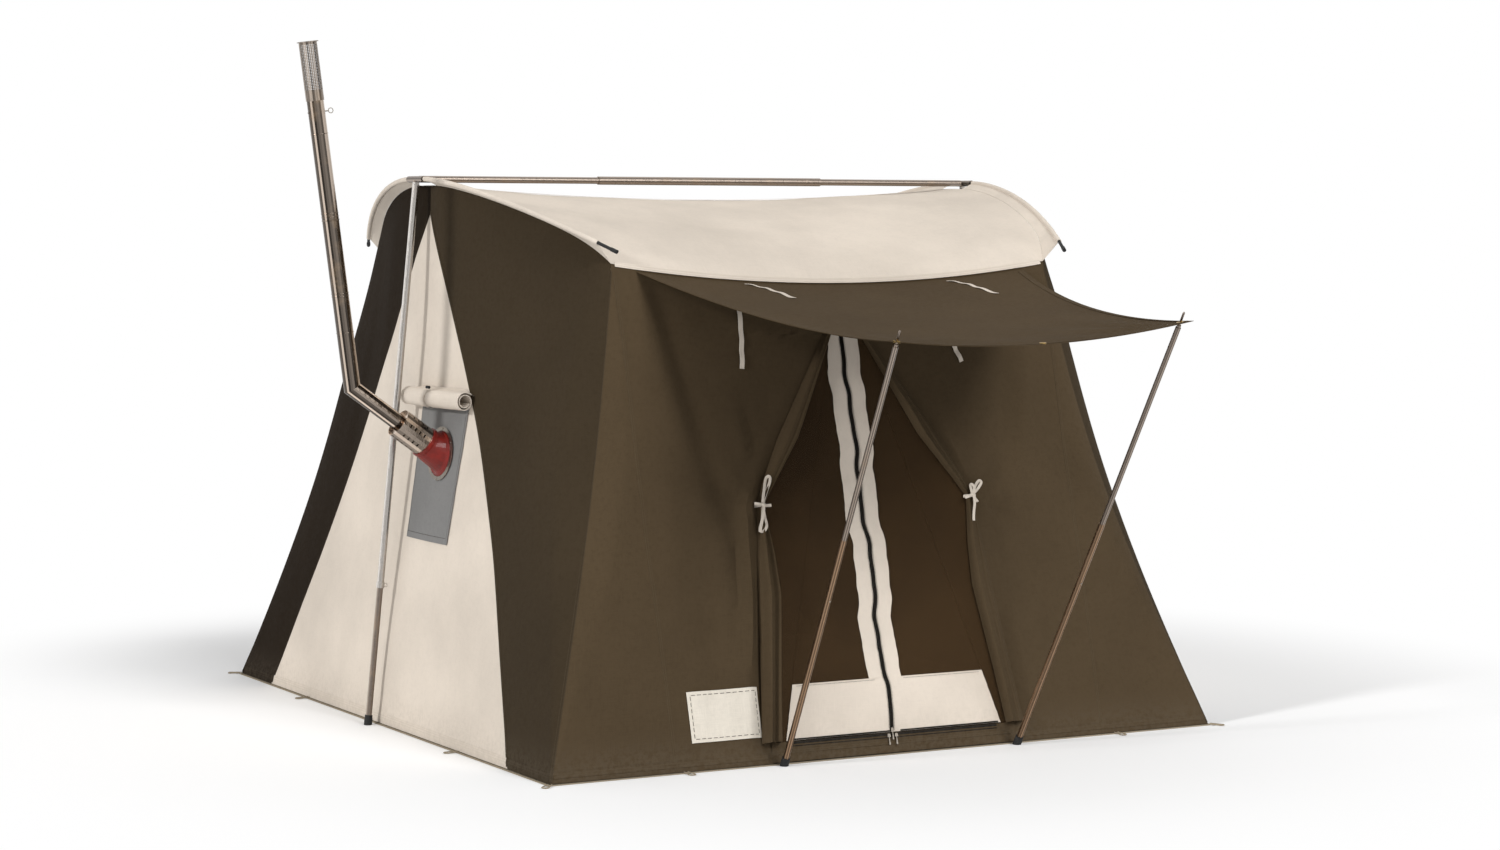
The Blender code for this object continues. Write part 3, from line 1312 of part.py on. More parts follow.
def make_pipes():
    gate, lower_axis, upper_axis = pipe_gate(), pipe_lower_axis(), pipe_upper_axis()
    outer, inner = PIPE_RADIUS, PIPE_RADIUS - PIPE_WALL
    end = PIPE_OUT_LENGTH - ELBOW_LOWER
    spigot = inner - TUBE_FIT
    lower = turned("stove_pipe_lower", [
        (spigot - PIPE_WALL, -PIPE_INSIDE_LENGTH), (outer, -PIPE_INSIDE_LENGTH), (outer, end), (spigot, end),
        (spigot, end + PIPE_SPIGOT), (spigot - PIPE_WALL, end + PIPE_SPIGOT),
    ], gate, lower_axis, "stainless", PIPE_ROUND, pivot=gate)
    carry(lower, make_guard(gate))
    bend = gate + lower_axis * PIPE_OUT_LENGTH
    start = bend - lower_axis * (ELBOW_LOWER - GAP)
    side = Vector((0, 1, 0))
    mitre = (lower_axis + upper_axis).normalized()
    stretch = 1 / mitre.dot(upper_axis)
    rings = []
    for radius in (outer, inner):
        low = ring_like(start, lower_axis, radius, side, PIPE_ROUND)
        flat = ring_like(bend, mitre, radius, side, PIPE_ROUND)
        across = mitre.cross(side).normalized()
        middle = [p + across * ((p - bend).dot(across) * (stretch - 1)) for p in flat]
        high = ring_like(bend + upper_axis * ELBOW_UPPER, upper_axis, radius, side, PIPE_ROUND)
        rings += [low, middle, high] if radius == outer else [high, middle, low]
    elbow = lofted("pipe_elbow", rings, "stainless", pivot=bend, closed=True)
    profile = beaded(inner, outer, ELBOW_UPPER + GAP, UPPER_LENGTH, UPPER_JOINT)
    nested = [(spigot - PIPE_WALL, ELBOW_UPPER - PIPE_SPIGOT), (spigot, ELBOW_UPPER - PIPE_SPIGOT),
              (spigot, ELBOW_UPPER + GAP)]
    profile = nested + profile[1:-1] + [(spigot - PIPE_WALL, UPPER_LENGTH)]
    upper = turned("stove_pipe_upper", profile, bend, upper_axis, "stainless", PIPE_ROUND, pivot=bend)
    across = Vector((upper_axis.z, 0, -upper_axis.x))
    place = bend + upper_axis * (UPPER_LENGTH - DAMPER_FROM_TOP)
    hole_end = outer + OVERRUN
    hole = rod_cutter(place, across, DAMPER_SHAFT + GAP, -hole_end, hole_end, SMALL_ROUND)
    combine(upper, hole, "DIFFERENCE")
    carry(lower, elbow)
    carry(elbow, upper)
    carry(upper, make_damper(place, across), make_arrestor(bend + upper_axis * UPPER_LENGTH, upper_axis))


def make_damper(place, across):
    """A butterfly plate on its shaft, stored open, with a wire ring to turn it by."""
    reach = PIPE_RADIUS + BUTTON_PROUD
    plate_half = DAMPER_PLATE / 2
    damper = turned("damper", [(0, -plate_half), (DAMPER_PLATE_RADIUS, -plate_half),
                               (DAMPER_PLATE_RADIUS, plate_half), (0, plate_half)],
                    place, (0, 1, 0), "stainless", ROUND, pivot=place)
    shaft = rod_cutter(place, across, DAMPER_SHAFT, -reach, DAMPER_REACH, SMALL_ROUND)
    combine(damper, shaft, "UNION")
    eye = place + across * (DAMPER_REACH + DAMPER_RING - DAMPER_WIRE)
    return combine(damper, torus("ring", eye, (0, 1, 0), DAMPER_RING, DAMPER_WIRE, "stainless"), "UNION")


def make_arrestor(top, axis):
    """A perforated basket with a socket below and a lid above, built cell by cell."""
    wall_in = PIPE_RADIUS + ARRESTOR_FIT
    wall_out = wall_in + ARRESTOR_WALL
    columns, rows = ARRESTOR_COLUMNS * 2, ARRESTOR_ROWS * 2 + 1
    first, second = frame_of(axis)
    rise = ARRESTOR_HEIGHT - ARRESTOR_SOCKET
    border = rise / rows
    heights = [-ARRESTOR_SOCKET] + spaced(border / 2, rise - border / 2, rows + 1)
    heights.append(rise)
    points = []
    for radius in (wall_out, wall_in):
        for h in heights:
            for k in range(columns):
                angle = 2 * math.pi * k / columns
                points.append(top + axis * h + first * (radius * math.cos(angle))
                              + second * (radius * math.sin(angle)))
    level = len(heights)
    half = level * columns

    def index(face, row, column):
        return face * half + row * columns + column % columns

    def is_hole(row, column):
        return 1 <= row <= rows and row % 2 == 0 and column % 2 == 1

    faces = []
    for row in range(level - 1):
        for column in range(columns):
            if is_hole(row, column):
                around = [(row, column), (row, column + 1), (row + 1, column + 1), (row + 1, column)]
                for k, (r, c) in enumerate(around):
                    r2, c2 = around[(k + 1) % 4]
                    faces.append((index(0, r, c), index(0, r2, c2), index(1, r2, c2), index(1, r, c)))
                continue
            faces.append((index(0, row, column), index(0, row, column + 1),
                          index(0, row + 1, column + 1), index(0, row + 1, column)))
            faces.append((index(1, row, column), index(1, row + 1, column),
                          index(1, row + 1, column + 1), index(1, row, column + 1)))
    for column in range(columns):
        after = column + 1
        faces.append((index(0, 0, column), index(1, 0, column), index(1, 0, after), index(0, 0, after)))
    top_ring = [index(0, level - 1, k) for k in range(columns)]
    under_ring = [index(1, level - 1, k) for k in range(columns)]
    lid_rows = [(CAP_RADIUS, rise), (CAP_RADIUS, rise + CAP_THICKNESS / 2), (wall_in, rise + CAP_THICKNESS)]
    previous = top_ring
    for radius, h in lid_rows:
        start = len(points)
        for k in range(columns):
            angle = 2 * math.pi * k / columns
            out = first * math.cos(angle) + second * math.sin(angle)
            points.append(top + axis * h + out * radius)
        current = [start + k for k in range(columns)]
        for k in range(columns):
            n = (k + 1) % columns
            faces.append((previous[k], previous[n], current[n], current[k]))
        previous = current
    faces.append(tuple(previous))
    faces.append(tuple(reversed(under_ring)))
    return solid("spark_arrestor", points, faces, "stainless", pivot=top)


def build():
    clear_scene()
    make_floor()
    make_webbing()
    make_walls()
    make_gables()
    make_roof()
    make_rods()
    make_sleeves()
    make_ridge()
    make_side_poles()
    make_awning()
    make_awning_poles()
    make_door()
    make_flaps()
    make_jack()
    make_boot()
    make_pipes()


build()
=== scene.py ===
"""The looks of a ridge-framed canvas hot tent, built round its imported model.

Metres, +Z up. X runs along the ridge and the door faces -Y.
"""

from math import asin, atan2, copysign, cos, exp, hypot, pi, radians, sin, sqrt, tanh

import bmesh
import bpy
import numpy as np
from bpy.props import FloatProperty, FloatVectorProperty, PointerProperty
from mathutils import Matrix, Vector, noise


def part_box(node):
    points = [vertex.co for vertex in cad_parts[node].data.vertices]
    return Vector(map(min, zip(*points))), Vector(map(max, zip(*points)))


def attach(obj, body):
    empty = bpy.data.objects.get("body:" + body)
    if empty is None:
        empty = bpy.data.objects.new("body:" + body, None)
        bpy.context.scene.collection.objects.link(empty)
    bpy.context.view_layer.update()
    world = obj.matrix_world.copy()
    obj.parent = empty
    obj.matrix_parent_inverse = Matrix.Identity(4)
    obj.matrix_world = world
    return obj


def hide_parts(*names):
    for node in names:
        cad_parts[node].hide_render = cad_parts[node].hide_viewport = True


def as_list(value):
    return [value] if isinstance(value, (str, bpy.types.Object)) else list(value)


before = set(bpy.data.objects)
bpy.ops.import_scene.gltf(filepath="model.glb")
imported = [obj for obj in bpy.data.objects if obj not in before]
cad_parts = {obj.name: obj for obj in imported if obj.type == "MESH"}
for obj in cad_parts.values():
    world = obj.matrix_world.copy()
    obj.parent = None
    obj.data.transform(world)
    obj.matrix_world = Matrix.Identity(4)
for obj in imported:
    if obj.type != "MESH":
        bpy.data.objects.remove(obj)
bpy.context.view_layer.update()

bl_info = {
    "name": "Hot tent looks",
    "version": (1, 0, 0),
    "blender": (4, 5, 0),
    "location": "3D View > Sidebar > Hot tent",
    "description": "Cloth, seams, fittings and finishes of a canvas hot tent",
    "category": "Object",
}

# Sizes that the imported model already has, in metres and degrees, and shares and powers of its curves
FLOOR_LENGTH, FLOOR_DEPTH, BASE_Z = 2.684, 2.914, 0.0043
EAVE_HALF, EAVE_DEPTH, EAVE_HEIGHT, EAVE_SAG = 0.894, 1.007, 1.705, 0.065
SEAM_RIDGE_INSET, SEAM_RIDGE_DROP = 0.057, 0.022
SEAM_INSET, SEAM_DROP, SEAM_TURN_POWER, SEAM_END_POWER = 0.041, 0.0235, 10, 14
RIDGE_SAG, CORNER_RADIUS, CORNER_POWER = 0.050, 0.165, 1.1
CREAM_BASE_HALF, CREAM_TOP, CREAM_BOW = 1.122, 1.885, 0.045
GABLE_DRAW, GABLE_DRAW_POWER = 0.034, 1.8
FOLD_DEPTH, WALL_FOLDS, GABLE_FOLD_DEPTH, GABLE_FOLDS = 0.007, 3, 0.008, 4
RIDGE_HALF, RIDGE_HEIGHT, TEE_HALF, ROD_RADIUS, ROD_FIT = 1.187, 2.0, 0.0675, 0.006, 0.0011
ROD_CAP_RADIUS, ROD_SLEEVE_END, ROD_END_HALF, ROD_END_HEIGHT = 0.0075, 1.027, 0.954, 1.777
ROD_BOW_POWER, ROD_END_WIDTH, ROD_END_RISE = 1.6, 0.060, 0.072
AWNING_HALF, AWNING_DROP, AWNING_POST_HALF, AWNING_REACH = 0.800, 0.016, 0.549, 2.323
AWNING_LEFT_HEIGHT, AWNING_RIGHT_HEIGHT, AWNING_FRONT_SAG = 1.481, 1.529, 0.043
AWNING_SIDE_SAG, AWNING_SIDE_SCOOP, AWNING_MID_SAG = 0.050, 0.045, 0.025
AWNING_HEM_WIDTH, AWNING_HEM_DEPTH, AWNING_CLOTH = 0.036, 0.026, 0.003
SILL_HEIGHT, DOOR_TOP, DOOR_TOP_HALF, DOOR_FOOT_HALF = 0.072, 1.450, 0.060, 0.440
FLAP_FOOT_HALF, BAND_HALF, BAND_WAVE, BAND_WAVES = 0.536, 0.067, 0.009, 3
ZIP_OFFSET, ZIP_GAP, KICK_TOP, LEAF_CLEARANCE = -0.016, 0.004, 0.260, 0.003
FLAP_LIFT, TIE_SHARE = 0.038, 0.5755
FLAP_HEIGHT_SHARES = (1.0, 0.740, 0.623, 0.5755, 0.459, 0.354, 0.140, 0.0)
FLAP_INNER_SHARES = (0.112, 0.466, 0.694, 0.780, 0.744, 0.735, 0.813, 0.858)
FLAP_OUTER_SHARES = (0.164, 0.612, 0.778, 0.828, 0.873, 0.896, 0.955, 1.0)
PIPE_PLANE, PIPE_HEIGHT, PIPE_RISE_DEG, PIPE_LEAN_DEG = -0.270, 1.006, 36.0, 7.5
PIPE_OUT_LENGTH, UPPER_LENGTH, ARRESTOR_HEIGHT = 0.425, 1.052, 0.205
JACK_TOP, JACK_FOOT, JACK_BACK_WIDTH = 1.182, 0.693, 0.222
JACK_TOP_WIDTH, JACK_FOOT_WIDTH, GUARD_HOLE = 0.160, 0.138, 0.058
ROLL_HEIGHT, ROLL_BACK_WIDTH, ROLL_FRONT_WIDTH, ROLL_RADIUS = 1.201, 0.295, 0.186, 0.035
ROLL_PITCH, ROLL_CLOTH, ROLL_TURNS, ROLL_TAIL = 0.0085, 0.004, 1.75, 0.012
TAPE_WIDTH, LOOP_REACH, LOOP_WIDTH, LOOP_SIDE_DEPTH = 0.012, 0.048, 0.024, 0.713
LOOP_FRONT_LEFT, LOOP_FRONT_RIGHT = 0.837, 0.928

WALL_SLOPE = (FLOOR_DEPTH / 2 - EAVE_DEPTH) / EAVE_HEIGHT
DOOR_HEIGHT = DOOR_TOP - SILL_HEIGHT
TIE_HEIGHT = SILL_HEIGHT + DOOR_HEIGHT * TIE_SHARE
CORNER_SHARE = 1 - sqrt(0.5)
WALL_NORMAL = Vector((0, -1, WALL_SLOPE)).normalized()
BACK_NORMAL = Vector((0, 1, WALL_SLOPE)).normalized()
UP = Vector((0, 0, 1))
SIDES = ((-1, "left"), (1, "right"))
# Each gable end's panels take a darker copy of the olive canvas as painted shade: the front panels less dark,
# the back panels darker
GABLE_ENDS = ((-1, "front", "side"), (1, "back", "shade"))
PANEL_HOLD = ["stake_tape", "roof_canvas"]

# How near a panel and a seam come to a panel's edge, as shares, and the width left at a tip
EDGE, SEAM_EDGE, TIP = 0.9998, 0.9999, 0.0003
# How much closer the columns of a wall stand near its edge, and how much of its own box a sheet fills
CROWDING, LEAST_FILL = 1.5, 0.32
SEAM_THICKNESS, HEM_WIDTH, NET_THICKNESS, BOW_THICKNESS = 0.0009, 0.022, 0.0006, 0.0013
TAPE_THICKNESS, LOOP_CORD, STRIP_EASE = 0.0024, 0.0021, 0.35
# How far pieces stand off the door's plane, off the wall's cloth and off the gable
NET_LIFT, BAND_LIFT, ZIP_TAPE_LIFT, STITCH_LIFT, TOOTH_LIFT = -0.0016, 0.0014, 0.0018, 0.0024, 0.0031
LABEL_LIFT, JACK_LIFT, JACK_STITCH_LIFT, ROLL_LIFT = 0.0036, 0.0030, 0.0040, 0.0040
# A zip tooth's and a stitch's share of its pitch, a tooth's height, and the left and right seams' place
TOOTH_SHARE, STITCH_SHARE, TOOTH_HEIGHT, WALL_SEAM_FOOT, WALL_SEAM_TOP = 0.42, 0.62, 0.0013, 0.871, 0.886
# The rolled joints on the upper pipe: how far up it, its radius there, and their half-section
BEAD_PLACES, BEAD_RADIUS = (0.200, 0.330, 0.340, 0.612, 0.625, 0.905), 0.0302
BEAD_SECTION = ((-0.0015, 0), (-0.00075, 0.0013), (0.00075, 0.0013), (0.0015, 0))
# The arrestor: its socket's length, its sheet's radii, and its lid's radii and heights
SOCKET, BASKET_OUTER, BASKET_INNER = 0.030, 0.0320, 0.0307
LID = ((0.0378, 0), (0.0380, 0.0012), (0.0378, 0.0028), (0.0300, 0.0040))
# The spare grommet's section, as radii and heights
EYELET = ((0.0060, 0.0034), (0.0092, 0.0038), (0.0120, 0.0022),
          (0.0120, -0.0022), (0.0092, -0.0034), (0.0060, -0.0030))

# The label's left, right, foot and top
LABEL = (-0.803, -0.527, 0.094, 0.262)
# Paths of the tapes, as across and up the wall in metres, and as shares of the awning
HANGING_TAPES = {
    "left": [(-0.418, 1.548), (-0.421, 1.47), (-0.428, 1.40), (-0.435, 1.336)],
    "right": [(0.432, 1.452), (0.444, 1.416), (0.460, 1.380), (0.476, 1.343)],
}
AWNING_TAPES = {
    "left": [(0.252, 0.022), (0.275, 0.055), (0.286, 0.11), (0.283, 0.185)],
    "right": [(0.782, 0.022), (0.812, 0.065), (0.828, 0.13), (0.842, 0.215)],
}
# The big loop, the small one, the wrap and the tail of each bow, in millimetres from its knot
BOWS = {
    "left": (
        [(0, 0), (6, 30), (18, 62), (30, 92), (40, 96), (40, 80), (26, 48), (8, 14), (2, 2)],
        [(0, 0), (-6, -24), (-10, -52), (-22, -84), (-10, -88), (4, -70), (4, -40), (2, -8)],
        [(-34, 6), (-14, 2), (0, 0), (14, -2), (30, -3)],
        [(0, 0), (-8, -30), (-16, -60), (-26, -92)],
    ),
    "right": (
        [(0, 0), (8, 16), (22, 34), (40, 50), (46, 44), (30, 24), (10, 6), (2, 1)],
        [(0, 0), (-4, 18), (-2, 34), (8, 38), (10, 26), (5, 6)],
        [(-34, -8), (-16, -3), (0, 0), (10, -12), (16, -26)],
        [(0, 0), (-1, -28), (-6, -58), (-10, -90)],
    ),
}

# The photograph's camera, as fitted when the part was sized
PHOTO_WIDTH, PHOTO_FOCUS, SENSOR = 1500, 3225.37, 36.0
CAMERA_PLACE = (-5.8682, -10.9531, 1.8865)
CAMERA_FORWARD = (0.48441, 0.87234, -0.06615)
CAMERA_RIGHT = (0.87434, -0.48530, 0.00283)
CAMERA_UP = (0.02963, 0.05921, 0.99781)

# The stage: where its floor starts to glow and glows fully, its half-width, the room's light on the
# tent, and each lamp's name, direction, strength and spread in degrees
STAGE_NEAR, STAGE_FAR, STAGE_HALF, ROOM_LIGHT = 2.3, 3.8, 60.0, 0.52
CORNERS = ((-1, -1), (1, -1), (1, 1), (-1, 1))
LAMPS = (("key", (0.22, -1.0, 0.75), 2.0, 24), ("left", (-1.0, -0.15, 0.42), 1.6, 7))


def length_property(name, description, default):
    return FloatProperty(name=name, description=description, default=default, unit="LENGTH")


def colour_property(name, description, default):
    return FloatVectorProperty(name=name, description=description, default=default,
                               subtype="COLOR", min=0, max=1)


class TentSizes(bpy.types.PropertyGroup):
    """Sizes of the cloth and its sewing."""

    cloth: length_property("Cloth", "Thickness of the canvas", 0.0014)
    weave: length_property("Weave", "Width of a pair of threads", 0.0012)
    seam: length_property("Seam", "Width of a felled seam", 0.013)
    stitch: length_property("Stitch", "Length from stitch to stitch", 0.005)
    rumple: length_property("Rumple", "Height of the loose creases", 0.0060)
    tape: length_property("Tape", "Width of the tie tapes", 0.018)
    teeth: length_property("Teeth", "Length from zip tooth to zip tooth", 0.0036)


class TentColours(bpy.types.PropertyGroup):
    """Colours of the cloth and the fittings."""

    olive: colour_property("Olive", "The walls, the awning and the door flaps", (0.063, 0.0435, 0.0240))
    # Side and shade are darker copies of the olive canvas: painted shade on the gables' front and back
    # panels, which take less light than the front wall
    side: colour_property("Side", "The gables' front panels", (0.038, 0.027, 0.0155))
    shade: colour_property("Shade", "The gables' back panels", (0.0135, 0.0085, 0.0044))
    cream: colour_property("Cream", "The roof, the gable triangles and the door band", (0.622, 0.552, 0.474))
    panel: colour_property("Panel", "The heat-proof jack panel", (0.183, 0.180, 0.175))
    netting: colour_property("Netting", "The door's insect mesh", (0.042, 0.0230, 0.0085))
    tape: colour_property("Tape", "The stake tape and its loops", (0.30, 0.25, 0.18))
    ground: colour_property("Ground", "The floor cloth", (0.085, 0.075, 0.055))
    silicone: colour_property("Silicone", "The pipe boot", (0.165, 0.008, 0.004))
    tube: colour_property("Tube", "The outside frame", (0.26, 0.215, 0.18))
    bright: colour_property("Bright tube", "The side poles' polished tubes", (0.52, 0.49, 0.46))
    stove: colour_property("Stove pipe", "The stove pipe's stainless steel", (0.36, 0.30, 0.25))
    brass: colour_property("Brass", "The grommets", (0.58, 0.39, 0.13))


# Materials

def maths_method(operation):
    return lambda self, *others: self.maths(operation, *others)


class Value:
    """A number in a material. Arithmetic on it adds Math nodes."""

    def __init__(self, paint, socket):
        self.paint, self.socket = paint, socket

    def maths(self, operation, *others):
        return self.paint.add("ShaderNodeMath", {"operation": operation}, dict(enumerate((self, *others))))

    __add__, __sub__ = maths_method("ADD"), maths_method("SUBTRACT")
    __mul__, __truediv__ = maths_method("MULTIPLY"), maths_method("DIVIDE")
    __lt__, __gt__ = maths_method("LESS_THAN"), maths_method("GREATER_THAN")
    __abs__, sine, part = maths_method("ABSOLUTE"), maths_method("SINE"), maths_method("FRACT")

    def output(self, name):
        """Another output of the same node."""
        return Value(self.paint, self.socket.node.outputs[name])

    def between(self, low, high, start=0.0, end=1.0):
        """The number carried from one range to another, and held at the range's ends."""
        values = {0: self, 1: low, 2: high, 3: start, 4: end}
        return self.paint.add("ShaderNodeMapRange", {"interpolation_type": "SMOOTHSTEP"}, values)


class Nodes:
    """A tree of nodes."""

    def __init__(self, tree):
        self.tree = tree

    def add(self, kind, settings=None, inputs=None, output=0):
        """A node of a type, with its settings, and the values or links of its sockets."""
        node = self.tree.nodes.new(kind)
        for key, value in (settings or {}).items():
            setattr(node, key, value)
        for key, value in (inputs or {}).items():
            self.join(value, node.inputs[key])
        return Value(self, node.outputs[output])

    def join(self, value, socket):
        if isinstance(value, Value):
            self.tree.links.new(value.socket, socket)
        elif socket.type == "RGBA":
            socket.default_value = (*tuple(value)[:3], 1)
        else:
            socket.default_value = value


class Paint(Nodes):
    """A material and the nodes that make it."""

    def __init__(self, name, **fixed):
        self.material = bpy.data.materials.new(f"look {name}")
        self.material.use_nodes = True
        super().__init__(self.material.node_tree)
        self.shader = self.tree.nodes["Principled BSDF"]
        self.feed(**fixed)

    def feed(self, **sockets):
        """Sets or links the shader's own sockets, written with underscores for spaces."""
        for name, value in sockets.items():
            self.join(value, self.shader.inputs[name.replace("_", " ")])

    def place(self, output="Object"):
        return self.add("ShaderNodeTexCoord", output=output)

    def cut(self):
        """The place on the flat cut of the cloth, whole and as its two parts."""
        place = self.add("ShaderNodeUVMap", {"uv_map": "cloth"})
        parts = self.parts(place)
        return place, parts.output("X"), parts.output("Y")

    def parts(self, vector):
        return self.add("ShaderNodeSeparateXYZ", inputs={0: vector})

    def stretched(self, vector, scale):
        return self.add("ShaderNodeVectorMath", {"operation": "MULTIPLY"}, {0: vector, 1: scale})

    def cloud(self, vector, scale, detail=3.0, rough=0.55, twist=0.0):
        """Soft noise from 0 to 1."""
        values = {"Vector": vector, "Scale": scale, "Detail": detail, "Roughness": rough, "Distortion": twist}
        return self.add("ShaderNodeTexNoise", inputs=values)

    def mix(self, share, first, second):
        return self.add("ShaderNodeMix", {"data_type": "RGBA"}, {0: share, 6: first, 7: second}, output=2)

    def shaded(self, share, colour, low, high):
        """A colour that runs from a darker to a lighter tint of itself."""
        return self.mix(share, tinted(colour, low), tinted(colour, high))

    def bump(self, height, depth, strength, under=None):
        values = {"Height": height, "Distance": depth, "Strength": strength}
        if under is not None:
            values["Normal"] = under
        return self.add("ShaderNodeBump", inputs=values)


def weave(across, along, pitch):
    """Threads that cross, from -1 to 1."""
    turn = 2 * pi / pitch
    return (across * turn).sine() * (along * turn).sine()


def tinted(colour, factor):
    return tuple(min(1.0, channel * factor) for channel in colour)


def sizes():
    return bpy.context.scene.tent_sizes


def colours():
    return bpy.context.scene.tent_colours


def paint_cloth(name, colour, pitch, crease=0.35, thread=None, rows=(), coarse=1.0, sheen=0.0):
    """Woven cloth: threads, slubs, soft mottling, dust near the ground, and rows of stitches."""
    paint = Paint(name, Specular_IOR_Level=0.07, Sheen_Weight=sheen, Sheen_Roughness=0.5)
    place = paint.place()
    cut, across, along = paint.cut()
    warp = paint.cloud(paint.stretched(cut, (900, 14, 1)), 1.0, 2)
    weft = paint.cloud(paint.stretched(cut, (14, 900, 1)), 1.0, 2)
    slubs = (warp + weft) * 0.5
    grain = paint.cloud(place, 60, 5, 0.7)
    tone = paint.shaded(paint.cloud(place, 1.7, 4).between(0.30, 0.72), colour, 0.90, 1.10)
    tone = paint.mix(slubs.between(0.42, 0.60, 0.0, 0.34 * coarse), tone, tinted(colour, 1.32))
    tone = paint.mix(grain.between(0.45, 0.72, 0.0, 0.30 * coarse), tone, tinted(colour, 0.74))
    low = paint.parts(place).output("Z").between(0.01, 0.16, 1.0, 0.0)
    dust = low * grain.between(0.35, 0.65) * 0.16
    tone = paint.mix(dust, tone, tinted((0.30, 0.25, 0.19), 0.6 + 0.8 * sum(colour) / 3))
    height = weave(across, along, pitch) * 0.5 + slubs * 1.2 + grain * 0.4
    for offset in rows:
        step = (across / sizes().stitch).part()
        near = (abs(abs(along) - offset) < 0.0009) * ((step > 0.14) * (step < 0.82))
        tone = paint.mix(near * 0.85, tone, thread)
        height = height + near * 2.0
    relief = paint.bump(paint.cloud(place, 5.5, 4, 0.5, 0.6), 0.010, crease)
    paint.feed(Base_Color=tone, Roughness=grain.between(0.3, 0.7, 0.84, 0.95),
               Normal=paint.bump(height, 0.0005, 0.55, relief))
    return paint.material


def paint_metal(name, colour, dark, rough, stain, streaks=5.0, light=1.2, edge=0.16, middle=0.5):
    """Drawn metal: painted reflections as dark and light streaks along its length, set by the way the surface
    faces, with fine scratches and stains.
    """
    paint = Paint(name, Metallic=1.0)
    place, round_it = paint.place(), paint.place("Normal")
    painted_reflection = paint.cloud(round_it, streaks, 3)
    fine = paint.cloud(round_it, 60, 3)
    blotch = paint.cloud(place, 9, 5, 0.6)
    scratch = paint.cloud(paint.stretched(place, (160, 160, 9)), 1.0, 4, 0.7)
    # Painted reflection: darker and lighter tints of the metal in bands set by the surface's facing
    tone = paint.shaded(painted_reflection.between(middle - edge, middle + edge), colour, dark, light)
    tone = paint.mix(fine.between(0.4, 0.7, 0.0, 0.4), tone, tinted(colour, 0.8))
    tone = paint.mix(blotch.between(0.52, 0.75, 0.0, stain), tone, tinted((0.42, 0.30, 0.19), sum(colour)))
    roughness = scratch.between(0.3, 0.7, rough, rough + 0.16) + blotch.between(0.5, 0.8, 0.0, 0.12)
    paint.feed(Base_Color=tone, Roughness=roughness, Normal=paint.bump(scratch + fine * 0.5, 0.0002, 0.3))
    return paint.material


def paint_moulded(name, colour, rough, coat, dusty):
    """Moulded rubber or silicone with a fine skin, scuffs and dust."""
    paint = Paint(name, Coat_Weight=coat, Coat_Roughness=0.12, Specular_IOR_Level=0.28)
    place = paint.place()
    skin, scuff = paint.cloud(place, 260, 3), paint.cloud(place, 22, 5, 0.65)
    tone = paint.shaded(scuff.between(0.3, 0.7), colour, 0.72, 1.25)
    tone = paint.mix(scuff.between(0.56, 0.8, 0.0, dusty), tone, (0.33, 0.28, 0.23))
    paint.feed(Base_Color=tone, Roughness=scuff.between(0.3, 0.75, rough, rough + 0.2),
               Normal=paint.bump(skin + scuff, 0.0004, 0.35))
    return paint.material


def paint_netting(name, colour):
    """Fine insect mesh, which lets a little of the inside show."""
    paint = Paint(name, Specular_IOR_Level=0.15, Alpha=0.90, Roughness=0.9)
    _, across, along = paint.cut()
    holes = weave(across, along, 0.0022)
    tone = paint.shaded(paint.cloud(paint.place(), 2.1, 3).between(0.3, 0.7), colour, 0.82, 1.18)
    # The holes are painted dark: painted shade of the inside, seen through the mesh
    tone = paint.mix(holes.between(0.1, 0.6, 0.0, 0.6), tone, tinted(colour, 0.35))
    paint.feed(Base_Color=tone, Normal=paint.bump(holes, 0.0004, 0.5))
    return paint.material


